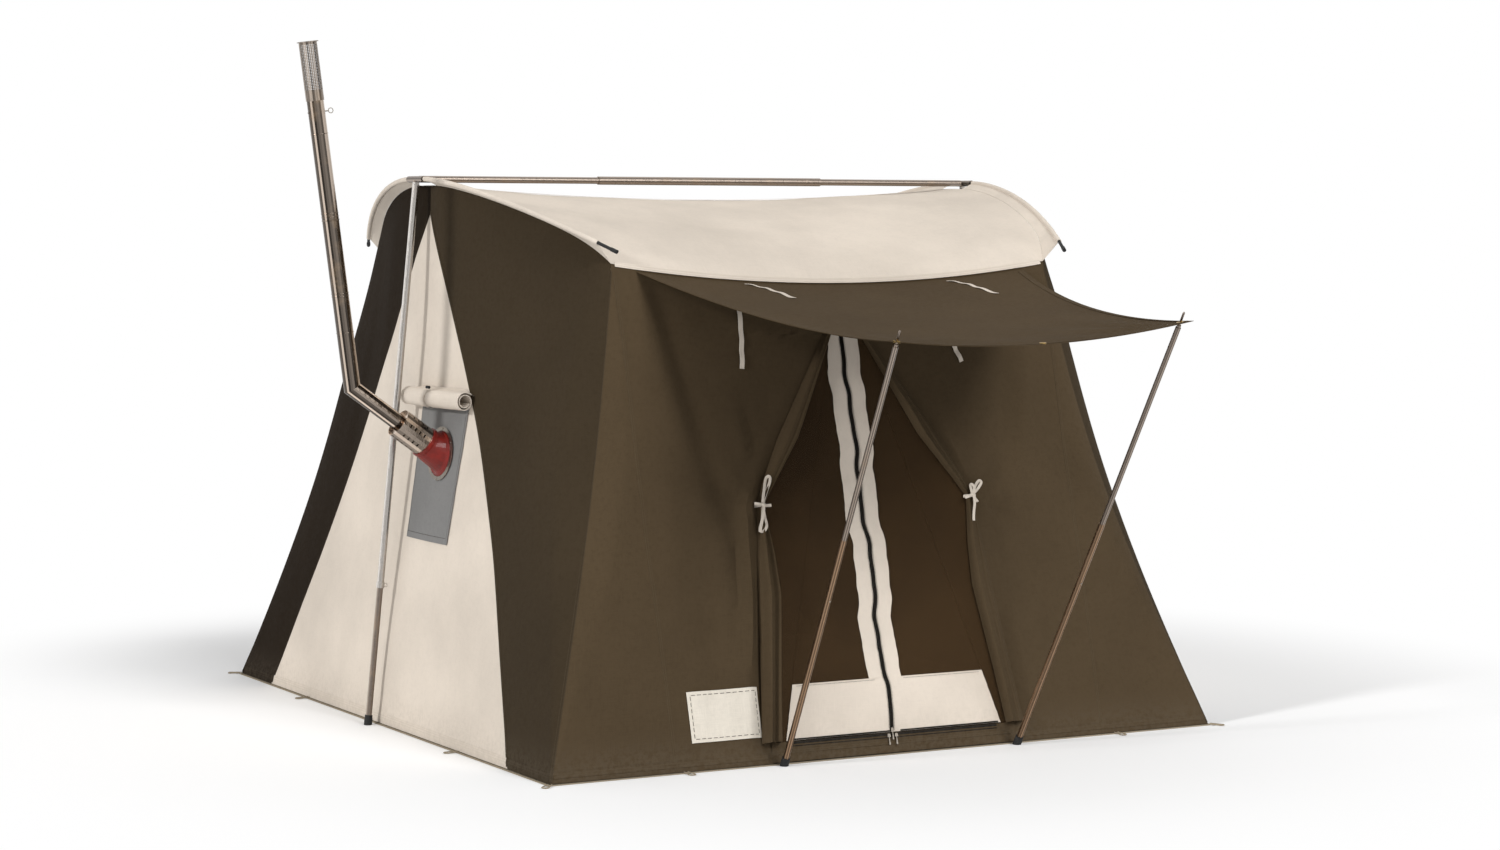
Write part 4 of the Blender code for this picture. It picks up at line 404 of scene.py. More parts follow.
def make_finish(name):
    """Makes a look, from the values that its painter is given after its name."""
    tone, weave_size = colours(), sizes().weave
    edge = (sizes().seam / 2 - 0.0022,)
    looks = {
        paint_cloth: {
            "olive": (tone.olive, weave_size),
            # Darker copies of the olive canvas for the gables' panels, as painted shade
            "side": (tone.side, weave_size),
            "shade": (tone.shade, weave_size),
            "olive seam": (tone.olive, weave_size, 0.1, (0.090, 0.068, 0.042), edge),
            # Their seams, with threads darkened the same way as painted shade
            "side seam": (tone.side, weave_size, 0.1, (0.070, 0.054, 0.036), edge),
            "shade seam": (tone.shade, weave_size, 0.1, (0.050, 0.038, 0.024), edge),
            "cream": (tone.cream, weave_size, 0.30, None, (), 0.45),
            "cream seam": (tone.cream, weave_size, 0.1, (0.52, 0.45, 0.36), edge, 0.4),
            "tie tape": (tinted(tone.cream, 0.98), 0.0016, 0.2, None, (), 0.6),
            "label": ((0.66, 0.61, 0.53), 0.0010, 0.15, None, (), 0.8),
            "panel": (tone.panel, 0.0024, 0.55, None, (), 0.7, 0.02),
            "stake tape": (tone.tape, 0.0020, 0.2, (0.12, 0.10, 0.07), (0.004,), 1.2),
            "floor": (tone.ground, 0.0020, 0.6, None, (), 0.8),
            "zip tape": ((0.012, 0.011, 0.010), 0.0010, 0.1),
            "thread": ((0.055, 0.045, 0.035), 0.0006, 0.1),
        },
        # Each metal's darker and lighter tints, band scale and spread make up the painted reflection that
        # paint_metal lays over it
        paint_metal: {
            "zip tooth": ((0.050, 0.044, 0.038), 0.6, 0.34, 0.1),
            "tube": (tone.tube, 0.34, 0.24, 0.45, 5.0, 1.7, 0.11),
            "warm tube": ((0.27, 0.175, 0.11), 0.34, 0.24, 0.35, 5.0, 1.6, 0.11),
            "bright tube": (tone.bright, 0.42, 0.18, 0.16, 5.0, 1.6, 0.12),
            "stove": (tone.stove, 0.10, 0.11, 0.50, 3.4, 2.3, 0.08, 0.57),
            "guard": (tone.stove, 0.30, 0.14, 0.35, 4.0, 2.1, 0.10),
            "steel": ((0.46, 0.41, 0.35), 0.35, 0.22, 0.3),
            "basket": ((0.26, 0.22, 0.185), 0.22, 0.26, 0.35, 4.0, 1.6, 0.10),
            "brass": (tone.brass, 0.5, 0.26, 0.3),
        },
        paint_moulded: {
            "silicone": (tone.silicone, 0.36, 0.10, 0.0),
            "rubber": ((0.012, 0.012, 0.012), 0.62, 0.0, 0.35),
        },
        paint_netting: {"netting": (tone.netting,)},
    }
    painter = next(painter for painter in looks if name in looks[painter])
    return painter(name, *looks[painter][name])


def finish(name):
    return bpy.data.materials.get(f"look {name}") or make_finish(name)


# Meshes

def put(name, data):
    """An object with this data, in the scene."""
    made = bpy.data.objects.new(name, data)
    bpy.context.scene.collection.objects.link(made)
    return made


def mesh_of(name, points, faces):
    """A mesh with its faces turned outwards."""
    mesh = bpy.data.meshes.new(name)
    mesh.from_pydata([tuple(p) for p in points], [], faces)
    work = bmesh.new()
    work.from_mesh(mesh)
    bmesh.ops.recalc_face_normals(work, faces=work.faces)
    work.to_mesh(mesh)
    work.free()
    return mesh


def piece(name, points, faces, look, body, flat=None, sharp=38):
    """A closed piece that rides on a body. Flat gives each point's place on the flat cut."""
    mesh = mesh_of(name, points, faces)
    if flat is not None:
        layer = mesh.uv_layers.new(name="cloth")
        corners = np.zeros(len(mesh.loops), dtype=np.int32)
        mesh.loops.foreach_get("vertex_index", corners)
        layer.data.foreach_set("uv", np.array(flat, np.float32)[corners].ravel())
    mesh.shade_smooth()
    mesh.set_sharp_from_angle(angle=radians(sharp))
    mesh.materials.append(finish(look))
    made = put(name, mesh)
    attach(made, body)
    return made


def circle(count):
    return [2 * pi * k / count for k in range(count)]


def ring_faces(start, after, count):
    return [(start + k, start + (k + 1) % count, after + (k + 1) % count, after + k) for k in range(count)]


def loft_data(rings, start=0):
    """Faces of a capped skin over rings of equal count."""
    count, faces = len(rings[0]), []
    for k in range(len(rings) - 1):
        faces += ring_faces(start + k * count, start + (k + 1) * count, count)
    for first in (start, start + (len(rings) - 1) * count):
        faces.append(tuple(range(first, first + count)))
    return faces


def along_path(path):
    """How far along it each point of a path lies."""
    reach = [0.0]
    for a, b in zip(path, path[1:]):
        reach.append(reach[-1] + (b - a).length)
    return reach


def bars(name, runs, look, body="tent"):
    """One piece from several capped skins. A run is (rings, flat places of its points)."""
    points, faces, places = [], [], []
    for rings, flat in runs:
        faces += loft_data(rings, len(points))
        points += [p for ring in rings for p in ring]
        places += flat
    return piece(name, points, faces, look, body, places)


def direction(path, k):
    """The way a path runs at one of its points."""
    return (path[min(k + 1, len(path) - 1)] - path[max(k - 1, 0)]).normalized()


def strip_run(path, facing, width, thickness, lift=0.0):
    """A flat strip along a path, with its upper face turned to facing."""
    rings, flat, reach = [], [], along_path(path)
    for k, point in enumerate(path):
        ahead = direction(path, k)
        face = facing[k] if isinstance(facing, list) else facing
        side = ahead.cross(face).normalized()
        top = side.cross(ahead).normalized()
        half, soft = width / 2, min(width / 2, thickness) * STRIP_EASE
        shape = ((-half, 0), (-half + soft, thickness), (half - soft, thickness), (half, 0))
        rings.append([point + side * a + top * (b + lift) for a, b in shape])
        flat += [(reach[k], a) for a, _ in shape]
    return rings, flat


def cord_run(path, radius, sides=8):
    """A round bar along a path."""
    rings, flat, reach = [], [], along_path(path)
    top = UP if abs(direction(path, 0).z) < 0.8 else Vector((0, 1, 0))
    for k, point in enumerate(path):
        ahead = direction(path, k)
        side = ahead.cross(top).normalized()
        top = side.cross(ahead).normalized()
        thick = radius[k] if isinstance(radius, list) else radius
        rings.append([point + side * (thick * cos(a)) + top * (thick * sin(a))
                      for a in circle(sides)])
        flat += [(reach[k], thick * a) for a in circle(sides)]
    return rings, flat


def grid_of(point, columns, rows):
    """Points, or numbers, over a grid of two values."""
    return [[point(column, row) for column in columns] for row in rows]


def as_array(face):
    return np.array([[tuple(p) for p in row] for row in face])


def grid_normals(grid, facing):
    """Unit normals of a grid of points, on the side of facing."""
    normal = np.cross(np.gradient(grid, axis=1), np.gradient(grid, axis=0))
    normal /= np.maximum(np.linalg.norm(normal, axis=2, keepdims=True), 1e-12)
    return -normal if (normal @ np.array(facing)).sum() < 0 else normal


def flat_places(grid):
    """Each point's place on the flat cut, measured along its row and its column."""
    step = np.linalg.norm(np.diff(grid, axis=1), axis=2)
    across = np.concatenate([np.zeros((len(grid), 1)), np.cumsum(step, axis=1)], axis=1)
    across -= across[:, across.shape[1] // 2][:, None]
    step = np.linalg.norm(np.diff(grid, axis=0), axis=2)
    along = np.concatenate([np.zeros((1, grid.shape[1])), np.cumsum(step, axis=0)], axis=0)
    return np.stack([across, along], axis=2)


def cloth(name, face, facing, look, body, thickness=None, lift=None):
    """A closed piece of cloth under a grid of points, each lifted along its normal first."""
    grid = as_array(face)
    normal = grid_normals(grid, facing)
    if lift is not None:
        grid = grid + normal * np.array(lift)[:, :, None]
    flat = flat_places(grid).reshape(-1, 2)
    under = grid - normal * (sizes().cloth if thickness is None else thickness)
    rows, cols = grid.shape[:2]
    points = np.concatenate([grid.reshape(-1, 3), under.reshape(-1, 3)])
    half, place = rows * cols, np.arange(rows * cols).reshape(rows, cols)
    quads = np.stack([place[:-1, :-1], place[:-1, 1:], place[1:, 1:], place[1:, :-1]], axis=2).reshape(-1, 4)
    faces = np.stack([quads, half + quads[:, ::-1]], axis=1).reshape(-1, 4).tolist()
    border = [*place[0], *place[1:, -1], *place[-1, -2::-1], *place[-2:0:-1, 0]]
    faces += [(a, b, half + b, half + a) for a, b in zip(border, border[1:] + border[:1])]
    return piece(name, points, faces, look, body, np.concatenate([flat, flat]))


def declare(face, rests_on):
    """Works out a sheet's width, length and area laid flat, and keeps none of them."""
    grid = as_array(face)
    width = float(np.linalg.norm(np.diff(grid, axis=1), axis=2).sum(axis=1).max())
    length = float(np.linalg.norm(np.diff(grid, axis=0), axis=2).sum(axis=0).max())
    a, b = grid[1:, 1:] - grid[:-1, :-1], grid[1:, :-1] - grid[:-1, 1:]
    area = min(float(np.linalg.norm(np.cross(a, b), axis=2).sum() / 2), width * length)
    length = min(length, area / (LEAST_FILL * width))
    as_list(rests_on)


def canvas(name, node, face, facing, look, rests_on, lift=None, thickness=None, body="tent"):
    """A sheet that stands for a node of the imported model."""
    made = cloth(name, face, facing, look, body, thickness, lift)
    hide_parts(node)
    declare(face, rests_on)
    return made


def blend(a, b, share):
    return a + (b - a) * share


def spaced(start, end, count):
    return [start + (end - start) * k / (count - 1) for k in range(count)]


def crowded(start, end, count):
    """Values that stand closer together towards the end, from there to the start."""
    return [blend(start, end, 1 - (1 - k) ** CROWDING) for k in spaced(1, 0, count)]


def eased(share):
    """A share from 0 to 1 that starts and ends softly."""
    share = min(1.0, max(0.0, share))
    return share * share * (3 - 2 * share)


def bell(distance, width):
    """One in the middle, falling to nought on both sides."""
    return exp(-(distance / width) ** 2)


def hump(share):
    """One soft hump from 0 to 1 and back."""
    return sin(pi * share) ** 2 if 0 < share < 1 else 0.0


def soft_noise(x, y, z, scale):
    return noise.noise(Vector((x, y, z)) * scale)


def polyline(table, height):
    """The value at a height in a table of (height, value) points, top first."""
    if height >= table[0][0]:
        return table[0][1]
    for (z1, x1), (z0, x0) in zip(table, table[1:]):
        if height >= z0:
            return x0 + (x1 - x0) * (height - z0) / (z1 - z0)
    return table[-1][1]


# The cabin's skin

def eave_height(s):
    return EAVE_HEIGHT - EAVE_SAG * (1 - s * s)


def rod_point(side, y):
    u = max(0.0, abs(y) - TEE_HALF) / (ROD_SLEEVE_END - TEE_HALF)
    x = RIDGE_HALF - (RIDGE_HALF - ROD_END_HALF) * u ** ROD_BOW_POWER
    z = RIDGE_HEIGHT - (RIDGE_HEIGHT - ROD_END_HEIGHT) * u ** ROD_BOW_POWER
    return Vector((side * x, y, z))


def seam_point(side, t):
    """The curve where a gable meets the roof, under its spring rod."""
    a = abs(t)
    near, far = (1 - a) ** SEAM_TURN_POWER, a ** SEAM_END_POWER
    rod = rod_point(1, a * ROD_SLEEVE_END)
    aside = SEAM_INSET + (SEAM_RIDGE_INSET - SEAM_INSET) * near + (ROD_END_WIDTH - SEAM_INSET) * far
    below = SEAM_DROP + (SEAM_RIDGE_DROP - SEAM_DROP) * near + (ROD_END_RISE - SEAM_DROP) * far
    return Vector((side * (rod.x - aside), t * EAVE_DEPTH, rod.z - below))


def softened(along, half, v):
    """A panel's place near a soft corner, and how far the corner draws it in."""
    radius = CORNER_RADIUS * sin(pi * v ** CORNER_POWER)
    edge = half - abs(along)
    if edge >= radius:
        return along, 0.0
    edge += CORNER_SHARE * (radius - edge)
    drawn = radius - sqrt(max(0.0, radius ** 2 - (radius - edge) ** 2))
    return copysign(half - edge, along), drawn


def gable_point(side, t, v):
    foot = Vector((side * FLOOR_LENGTH / 2, t * (FLOOR_DEPTH / 2 - WALL_SLOPE * BASE_Z), BASE_Z))
    point = foot.lerp(seam_point(side, t), v)
    half = blend(FLOOR_DEPTH / 2 - WALL_SLOPE * BASE_Z, EAVE_DEPTH, v)
    point.y, drawn = softened(point.y, half, v)
    drawn += GABLE_DRAW * sin(pi * v ** GABLE_DRAW_POWER) * (1 - t * t)
    folds = (1 + cos(GABLE_FOLDS * pi * t)) / 2
    drawn += GABLE_FOLD_DEPTH * (1 - t * t) * sin(pi * v) * folds
    point.x -= side * drawn
    return point


def gable_place(y, z):
    t, v = 0.0, 0.5
    for _ in range(12):
        v = (z - BASE_Z) / (seam_point(1, t).z - BASE_Z)
        t = y / blend(FLOOR_DEPTH / 2, EAVE_DEPTH, v)
    return t, v


def gable_normal(side, t, v):
    step = 0.004
    low, high = max(0.0, v - step), min(1.0, v + step)
    along = gable_point(side, min(1, t + step), v) - gable_point(side, max(-1, t - step), v)
    normal = along.cross(gable_point(side, t, high) - gable_point(side, t, low)).normalized()
    return normal if normal.x * side > 0 else -normal


def cream_edge(v):
    """The t at which the cream triangle ends, at a share v of the height."""
    t = 0.0
    for _ in range(8):
        z = BASE_Z + (seam_point(1, t).z - BASE_Z) * v
        rise = min(1.0, z / CREAM_TOP)
        y = CREAM_BASE_HALF * (1 - rise) + CREAM_BOW * sin(pi * rise)
        t = max(0.0, y) / blend(FLOOR_DEPTH / 2, EAVE_DEPTH, v)
    return t


def wall_point(face, s, v):
    half = blend(FLOOR_LENGTH / 2, EAVE_HALF, v)
    z = BASE_Z + (eave_height(s) - BASE_Z) * v
    y = FLOOR_DEPTH / 2 - WALL_SLOPE * z
    clear = max(0.0, abs(s) * half - DOOR_FOOT_HALF) / (half - DOOR_FOOT_HALF)
    calm = (sin(pi * v) * sin(pi * min(1.0, clear))) ** 2
    y -= FOLD_DEPTH * calm * (1 + cos(2 * pi * WALL_FOLDS * clear)) / 2
    x, drawn = softened(s * half, half, v)
    return Vector((x, face * (y - drawn), z))


def wall_place(x, z):
    s, v = 0.0, 0.5
    for _ in range(10):
        v = (z - BASE_Z) / (eave_height(s) - BASE_Z)
        s = x / blend(FLOOR_LENGTH / 2, EAVE_HALF, v)
    return s, v


def on_wall(x, z, lift):
    """A point over the front wall's plane."""
    return Vector((x, -(FLOOR_DEPTH / 2 - WALL_SLOPE * z), z)) + WALL_NORMAL * lift


def on_cloth(x, z, lift):
    """A point over the front wall's folded cloth."""
    s, v = wall_place(x, z)
    return wall_point(-1, s, v) + WALL_NORMAL * (wall_lift(s, v) + lift)


def roof_point(s, t):
    a = abs(t)
    edge = seam_point(1, t)
    sag = blend(RIDGE_SAG, EAVE_SAG, a)
    eave_depth = FLOOR_DEPTH / 2 - WALL_SLOPE * eave_height(s)
    return Vector((s * edge.x, t * blend(EAVE_DEPTH, eave_depth, a), edge.z - sag * (1 - s * s)))


def flap_edge(shares, z):
    table = [(SILL_HEIGHT + DOOR_HEIGHT * h, FLAP_FOOT_HALF * w) for h, w in zip(FLAP_HEIGHT_SHARES, shares)]
    return polyline(table, z)


def door_edge(z):
    if z > DOOR_TOP:
        return 0.0
    return (flap_edge(FLAP_INNER_SHARES, z) + flap_edge(FLAP_OUTER_SHARES, z)) / 2


def crease_half(z):
    """The half-width of the line on which a door leaf folds back."""
    return blend(DOOR_FOOT_HALF, DOOR_TOP_HALF, (z - SILL_HEIGHT) / DOOR_HEIGHT)


def zip_line(z):
    share = (z - SILL_HEIGHT) / DOOR_HEIGHT
    wave = BAND_WAVE * sin(2 * pi * BAND_WAVES * share) * (1 - share * share)
    loose = 0.0030 * sin(37 * z) + 0.0016 * sin(61 * z + 1)
    return ZIP_OFFSET + wave + loose * eased((z - 0.16) / 0.12) * eased((DOOR_TOP - z) / 0.1)


def rim(share):
    """Nought at both ends of a share and one well inside."""
    return eased(min(share, 1 - share) / 0.08)


def inside(share):
    """Nought at both edges of a panel, at -1 and 1, and one well inside."""
    return eased((1 - abs(share)) / 0.1)


def flap_merges(side, z):
    """One where a flap runs into its wall, and nought where a groove parts them."""
    return 1.0 if side > 0 else eased((z - TIE_HEIGHT) / 0.10)


# Heights and half-widths of the soft valley that runs from each eave corner to the tie
WALL_VALLEY = ((1.665, 0.729), (1.235, 0.651), (0.687, 0.513), (0.30, 0.50))


def wall_lift(s, v):
    """How far the front wall's cloth stands off its smooth surface."""
    half = blend(FLOOR_LENGTH / 2, EAVE_HALF, v)
    x, z = s * half, BASE_Z + (eave_height(s) - BASE_Z) * v
    side = copysign(1, s)
    loose = soft_noise(x * 1.2, 0.3, z * 0.6, 3.1) + 0.4 * soft_noise(x * 2.4, 4.7, z * 0.9, 5.3)
    lift = sizes().rumple * loose
    # The ridge beside the door flap, and the groove outside it
    down = sin(pi * min(1.0, max(0.0, z / DOOR_TOP)) ** 0.8)
    beside = abs(x) - flap_edge(FLAP_OUTER_SHARES, min(z, DOOR_TOP))
    apart = 1 - 0.8 * flap_merges(side, z)
    ridge = 0.034 * hump((beside + 0.002) / 0.085) * (0.4 + 0.6 * eased((z - 0.26) / 0.2))
    lift += apart * down * (ridge - 0.005 * hump((beside - 0.10) / 0.16))
    # The valley from the eave corner to the tie, with a soft rise outside it
    valley = abs(x) - polyline(WALL_VALLEY, z)
    lift += 0.007 * bell(valley - 0.085, 0.045) - 0.010 * bell(valley, 0.042)
    # The ledge above the tie, where the flap's cloth is drawn over the wall
    above = (z - TIE_HEIGHT) / 0.46
    if 0 < above < 1:
        ledge = (abs(x) - blend(0.446, 0.468, above)) / 0.009
        rise = (0.010 if side < 0 else 0.003) * (1 + tanh(ledge))
        lift += rise * exp(-max(0.0, ledge) / 9) * hump(above)
    if side > 0:
        lift -= 0.013 * bell(abs(x) - 0.600, 0.050) * hump(z / 1.15)
    # Creases that fan from the tie
    to_tie = Vector((abs(x) - 0.44, z - TIE_HEIGHT))
    fan = sin(8 * atan2(to_tie.y, to_tie.x) + 0.8)
    lift += 0.006 * exp(-to_tie.length / 0.30) * fan * eased(to_tie.length / 0.12)
    return lift * (rim(v) * inside(s))


def gable_lift(side, t, v):
    point = Vector((side, t * 1.3, v * 1.9))
    loose = noise.noise(Vector((point.x * 3, point.y * 2.4, point.z * 1.1)) * 1.4)
    ply = noise.noise(Vector((point.x * 7, point.y * 6.1, point.z * 1.3)) * 1.5)
    return sizes().rumple * (loose + 0.4 * ply) * rim(v)


def awning_corner(side):
    height = AWNING_LEFT_HEIGHT if side < 0 else AWNING_RIGHT_HEIGHT
    return Vector((side * AWNING_POST_HALF, -AWNING_REACH, height))


def awning_point(u, v):
    """The awning's middle surface: u from left to right, v from the wall to the front hem."""
    rear_x = blend(-AWNING_HALF, AWNING_HALF, u)
    rear_z = eave_height(rear_x / EAVE_HALF) - AWNING_DROP
    rear = on_wall(rear_x, rear_z, AWNING_CLOTH / 2 * WALL_SLOPE + 0.0003)
    out, ahead = Vector((AWNING_HEM_WIDTH, 0, 0)), Vector((0, -AWNING_HEM_DEPTH, 0))
    front = (awning_corner(-1) - out).lerp(awning_corner(1) + out, u) + ahead
    front.z -= AWNING_FRONT_SAG * 4 * u * (1 - u)
    point = rear.lerp(front, v)
    bow, side = 4 * v * (1 - v), 2 * u - 1
    point.x -= side * AWNING_SIDE_SCOOP * bow
    point.z -= bow * blend(AWNING_MID_SAG, AWNING_SIDE_SAG, side * side)
    return point


def awning_lift(u, v):
    """Creases that fan from the grommets, calm at the grommets and the hems."""
    lift = 0.0
    for corner in (0.04, 0.96):
        away = Vector(((u - corner) * 1.2, (1 - v) * 1.3))
        reach = away.length
        fan = sin(11 * atan2(away.y, away.x))
        lift += 0.006 * fan * exp(-reach / 0.5) * eased((reach - 0.05) / 0.15)
    lift += 0.004 * soft_noise(u * 2.2, v * 1.4, 8.1, 2.6)
    return lift * rim(u) * eased(v / 0.10) * eased((1 - v) / 0.05)


class TentStep:
    """What every step of the build shares."""

    bl_options = {"REGISTER", "UNDO"}


class TENT_OT_stage(TentStep, bpy.types.Operator):
    """The pale floor, the white surroundings, the soft lamps and the camera"""

    bl_idname = "tent.stage"
    bl_label = "Stage"

    def execute(self, context):
        paint = Paint("stage floor", Roughness=0.95, Specular_IOR_Level=0.05, Base_Color=(0.93, 0.93, 0.93))
        away = paint.add("ShaderNodeVectorMath", {"operation": "LENGTH"}, {0: paint.place()}, output="Value")
        values = {
            0: away.between(STAGE_NEAR, STAGE_FAR),
            1: Value(paint, paint.shader.outputs[0]),
            2: paint.add("ShaderNodeEmission", inputs={0: (1, 1, 1), 1: 1.0}),
        }
        white = paint.add("ShaderNodeMixShader", inputs=values)
        paint.join(white, paint.tree.nodes["Material Output"].inputs[0])
        mesh = bpy.data.meshes.new("stage_floor")
        corners = [(a * STAGE_HALF, b * STAGE_HALF, 0) for a, b in CORNERS]
        mesh.from_pydata(corners, [], [(0, 1, 2, 3)])
        mesh.materials.append(paint.material)
        floor = put("stage_floor", mesh)
        floor.location.z = -0.0006
        self.light_room(context.scene)
        self.place_camera(context.scene)
        return {"FINISHED"}

    def light_room(self, scene):
        """A white room, brighter to the camera and in reflections than as a lamp, and two soft suns."""
        scene.world = bpy.data.worlds.new("room")
        scene.world.use_nodes = True
        room = Nodes(scene.world.node_tree)
        seen = rays = room.add("ShaderNodeLightPath", output="Is Camera Ray")
        for name in ("Is Glossy Ray", "Is Transmission Ray"):
            seen = seen.maths("MAXIMUM", rays.output(name))
        background = room.tree.nodes["Background"]
        room.join((1, 1, 1), background.inputs[0])
        level = room.add("ShaderNodeMapRange", inputs={0: seen, 3: ROOM_LIGHT, 4: 1.0})
        room.join(level, background.inputs[1])
        for name, way, strength, spread in LAMPS:
            lamp = bpy.data.lights.new(name, "SUN")
            lamp.energy, lamp.angle = strength, radians(spread)
            put(name, lamp).rotation_euler = Vector(way).to_track_quat("Z", "Y").to_euler()
        scene.view_settings.view_transform = "Standard"

    def place_camera(self, scene):
        lens = bpy.data.cameras.new("camera")
        lens.sensor_width, lens.lens = SENSOR, PHOTO_FOCUS * SENSOR / PHOTO_WIDTH
        lens.clip_end = 300
        scene.camera = put("camera", lens)
        axes = Matrix((CAMERA_RIGHT, CAMERA_UP, [-c for c in CAMERA_FORWARD])).transposed().to_4x4()
        scene.camera.matrix_world = Matrix.Translation(CAMERA_PLACE) @ axes


class TENT_OT_ground(TentStep, bpy.types.Operator):
    """The floor cloth, and the stake tape with its cord loops"""

    bl_idname = "tent.ground"
    bl_label = "Floor and stake tape"

    def execute(self, context):
        x, y = FLOOR_LENGTH / 2, FLOOR_DEPTH / 2
        face = grid_of(lambda a, b: Vector((a, b, 0.0030)), spaced(-x, x, 40), spaced(-y, y, 44))
        lift = [[0.0008 * soft_noise(p.x, p.y, 0, 4.0) for p in row] for row in face]
        canvas("floor_cloth", "floor", face, UP, "floor", ["ground"], lift, 0.0016)
        runs, corners = [], [Vector((a * x, b * y, 0.0004)) for a, b in CORNERS]
        for start, end in zip(corners, corners[1:] + corners[:1]):
            out = (end - start).normalized().cross(UP) * (TAPE_WIDTH / 2 + 0.0003)
            path = [(start + out).lerp(end + out, k) for k in spaced(0, 1, 60)]
            runs.append(strip_run(path, UP, TAPE_WIDTH, TAPE_THICKNESS))
        tape = bars("stake_tape", runs + self.loop_runs(x, y), "stake tape")
        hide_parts("ground_webbing")
        return {"FINISHED"}

    def loop_runs(self, x, y):
        """A cord loop with two whippings at each corner, and two loops along each side."""
        both = (-1, 1)
        places = [((sx * x, sy * y), (sx, sy)) for sx in both for sy in both]
        places += [((sx * x, sy * LOOP_SIDE_DEPTH), (sx, 0)) for sx in both for sy in both]
        places += [((a, sy * y), (0, sy)) for sy in both for a in (-LOOP_FRONT_LEFT, LOOP_FRONT_RIGHT)]
        runs, low = [], Vector((0, 0, -TAPE_THICKNESS))
        half, straight = LOOP_WIDTH / 2, LOOP_REACH - LOOP_WIDTH / 2 + 0.006
        for centre, way in places:
            out = Vector((*way, 0)).normalized()
            side = Vector((-out.y, out.x, 0))
            reach = TAPE_WIDTH * (1.0 if 0 in way else 1.4)
            root = Vector((*centre, LOOP_CORD + 0.0028)) + out * (reach - 0.012)
            path = [root - side * (half * 0.6)]
            for k in range(13):
                angle = pi * k / 12
                far = straight + half * sin(angle)
                path.append(root + out * far - side * (half * cos(angle)) + low * min(1.0, far / 0.03))
            path.append(root + side * (half * 0.6))
            whip = [root + out * (0.010 + k * 0.012) + low * 0.4 for k in range(2)]
            runs.append(cord_run(path, LOOP_CORD, 8))
            runs.append(strip_run(whip, UP, LOOP_WIDTH * 0.95, LOOP_CORD * 1.5, -0.001))
        return runs


class TENT_OT_walls(TentStep, bpy.types.Operator):
    """The front walls either side of the door, and the back wall"""

    bl_idname = "tent.walls"
    bl_label = "Walls"

    def execute(self, context):
        levels = spaced(BASE_Z, DOOR_TOP - 0.0003, 74) + spaced(DOOR_TOP + 0.0003, EAVE_HEIGHT, 14)
        for side, word in SIDES:
            face, lift = [], []
            for z in levels:
                s, v = wall_place(max(door_edge(z), TIP), z)
                v = EDGE if z == EAVE_HEIGHT else min(v, EDGE)
                places = [side * k for k in crowded(s, EDGE, 46)]
                face.append([wall_point(-1, k, v) for k in places])
                lift.append([wall_lift(k, v) for k in places])
            canvas(f"front_canvas_{word}", f"front_wall_{word}", face, WALL_NORMAL, "olive", PANEL_HOLD, lift)
        places = [copysign(1 - (1 - abs(k)) ** CROWDING, k) * EDGE for k in spaced(-1, 1, 91)]
        heights = spaced(0, EDGE, 70)
        face = grid_of(lambda s, v: wall_point(1, s, v), places, heights)
        lift = grid_of(self.back_lift, places, heights)
        canvas("back_canvas", "back_wall", face, BACK_NORMAL, "olive", PANEL_HOLD, lift)
        return {"FINISHED"}

    def back_lift(self, s, v):
        return sizes().rumple * soft_noise(s * 3, 7.7, v, 2.2) * rim(v) * inside(s)


class TENT_OT_gables(TentStep, bpy.types.Operator):
    """The cream triangles and the dark panels of both gables"""

    bl_idname = "tent.gables"
    bl_label = "Gables"

    def execute(self, context):
        apex = (CREAM_TOP - BASE_Z) / (seam_point(1, 0).z - BASE_Z)
        heights = spaced(0, apex, 70)
        for side, word in SIDES:
            for front, place, look in GABLE_ENDS:
                rows = [(v, [front * t for t in crowded(max(cream_edge(v), TIP), EDGE, 40)])
                        for v in heights + [0.9999]]
                self.panel(f"canvas_{word}_{place}", f"{word}_{place}", side, rows, look, PANEL_HOLD)
            rows = [(v, spaced(-max(cream_edge(v), TIP), max(cream_edge(v), TIP), 50))
                    for v in heights[:-1] + [apex * 0.9996]]
            cream = self.panel(f"cream_{word}", f"{word}_centre", side, rows, "cream", ["stake_tape"])
            if side < 0:
                cut_round(cream, pipe_gate(), pipe_axis(), GUARD_HOLE, 0.25)
        return {"FINISHED"}

    def panel(self, name, node, side, rows, look, rests_on):
        """A panel over rows of places. The dark ones lie calm near the tent's corners."""
        face = [[gable_point(side, t, v) for t in places] for v, places in rows]
        lift = [[gable_lift(side, t, v) * (1.0 if look == "cream" else inside(t)) for t in places]
                for v, places in rows]
        facing = Vector((side, 0, 0.15))
        return canvas(f"gable_{name}", f"gable_{node}", face, facing, look, rests_on, lift)


def cut_round(made, origin, axis, radius, reach):
    """Cuts a round hole through a piece."""
    rings, _ = cord_run([Vector(origin) + Vector(axis) * (k * reach) for k in (-1, 1)], radius, 40)
    mesh = mesh_of("cutter", [p for ring in rings for p in ring], loft_data(rings))
    tool = put("cutter", mesh)
    step = made.modifiers.new("cut", "BOOLEAN")
    step.operation, step.solver, step.object = "DIFFERENCE", "EXACT", tool
    result = bpy.data.meshes.new_from_object(made.evaluated_get(bpy.context.evaluated_depsgraph_get()))
    made.modifiers.clear()
    made.data = result
    bpy.data.objects.remove(tool)
    bpy.data.meshes.remove(mesh)


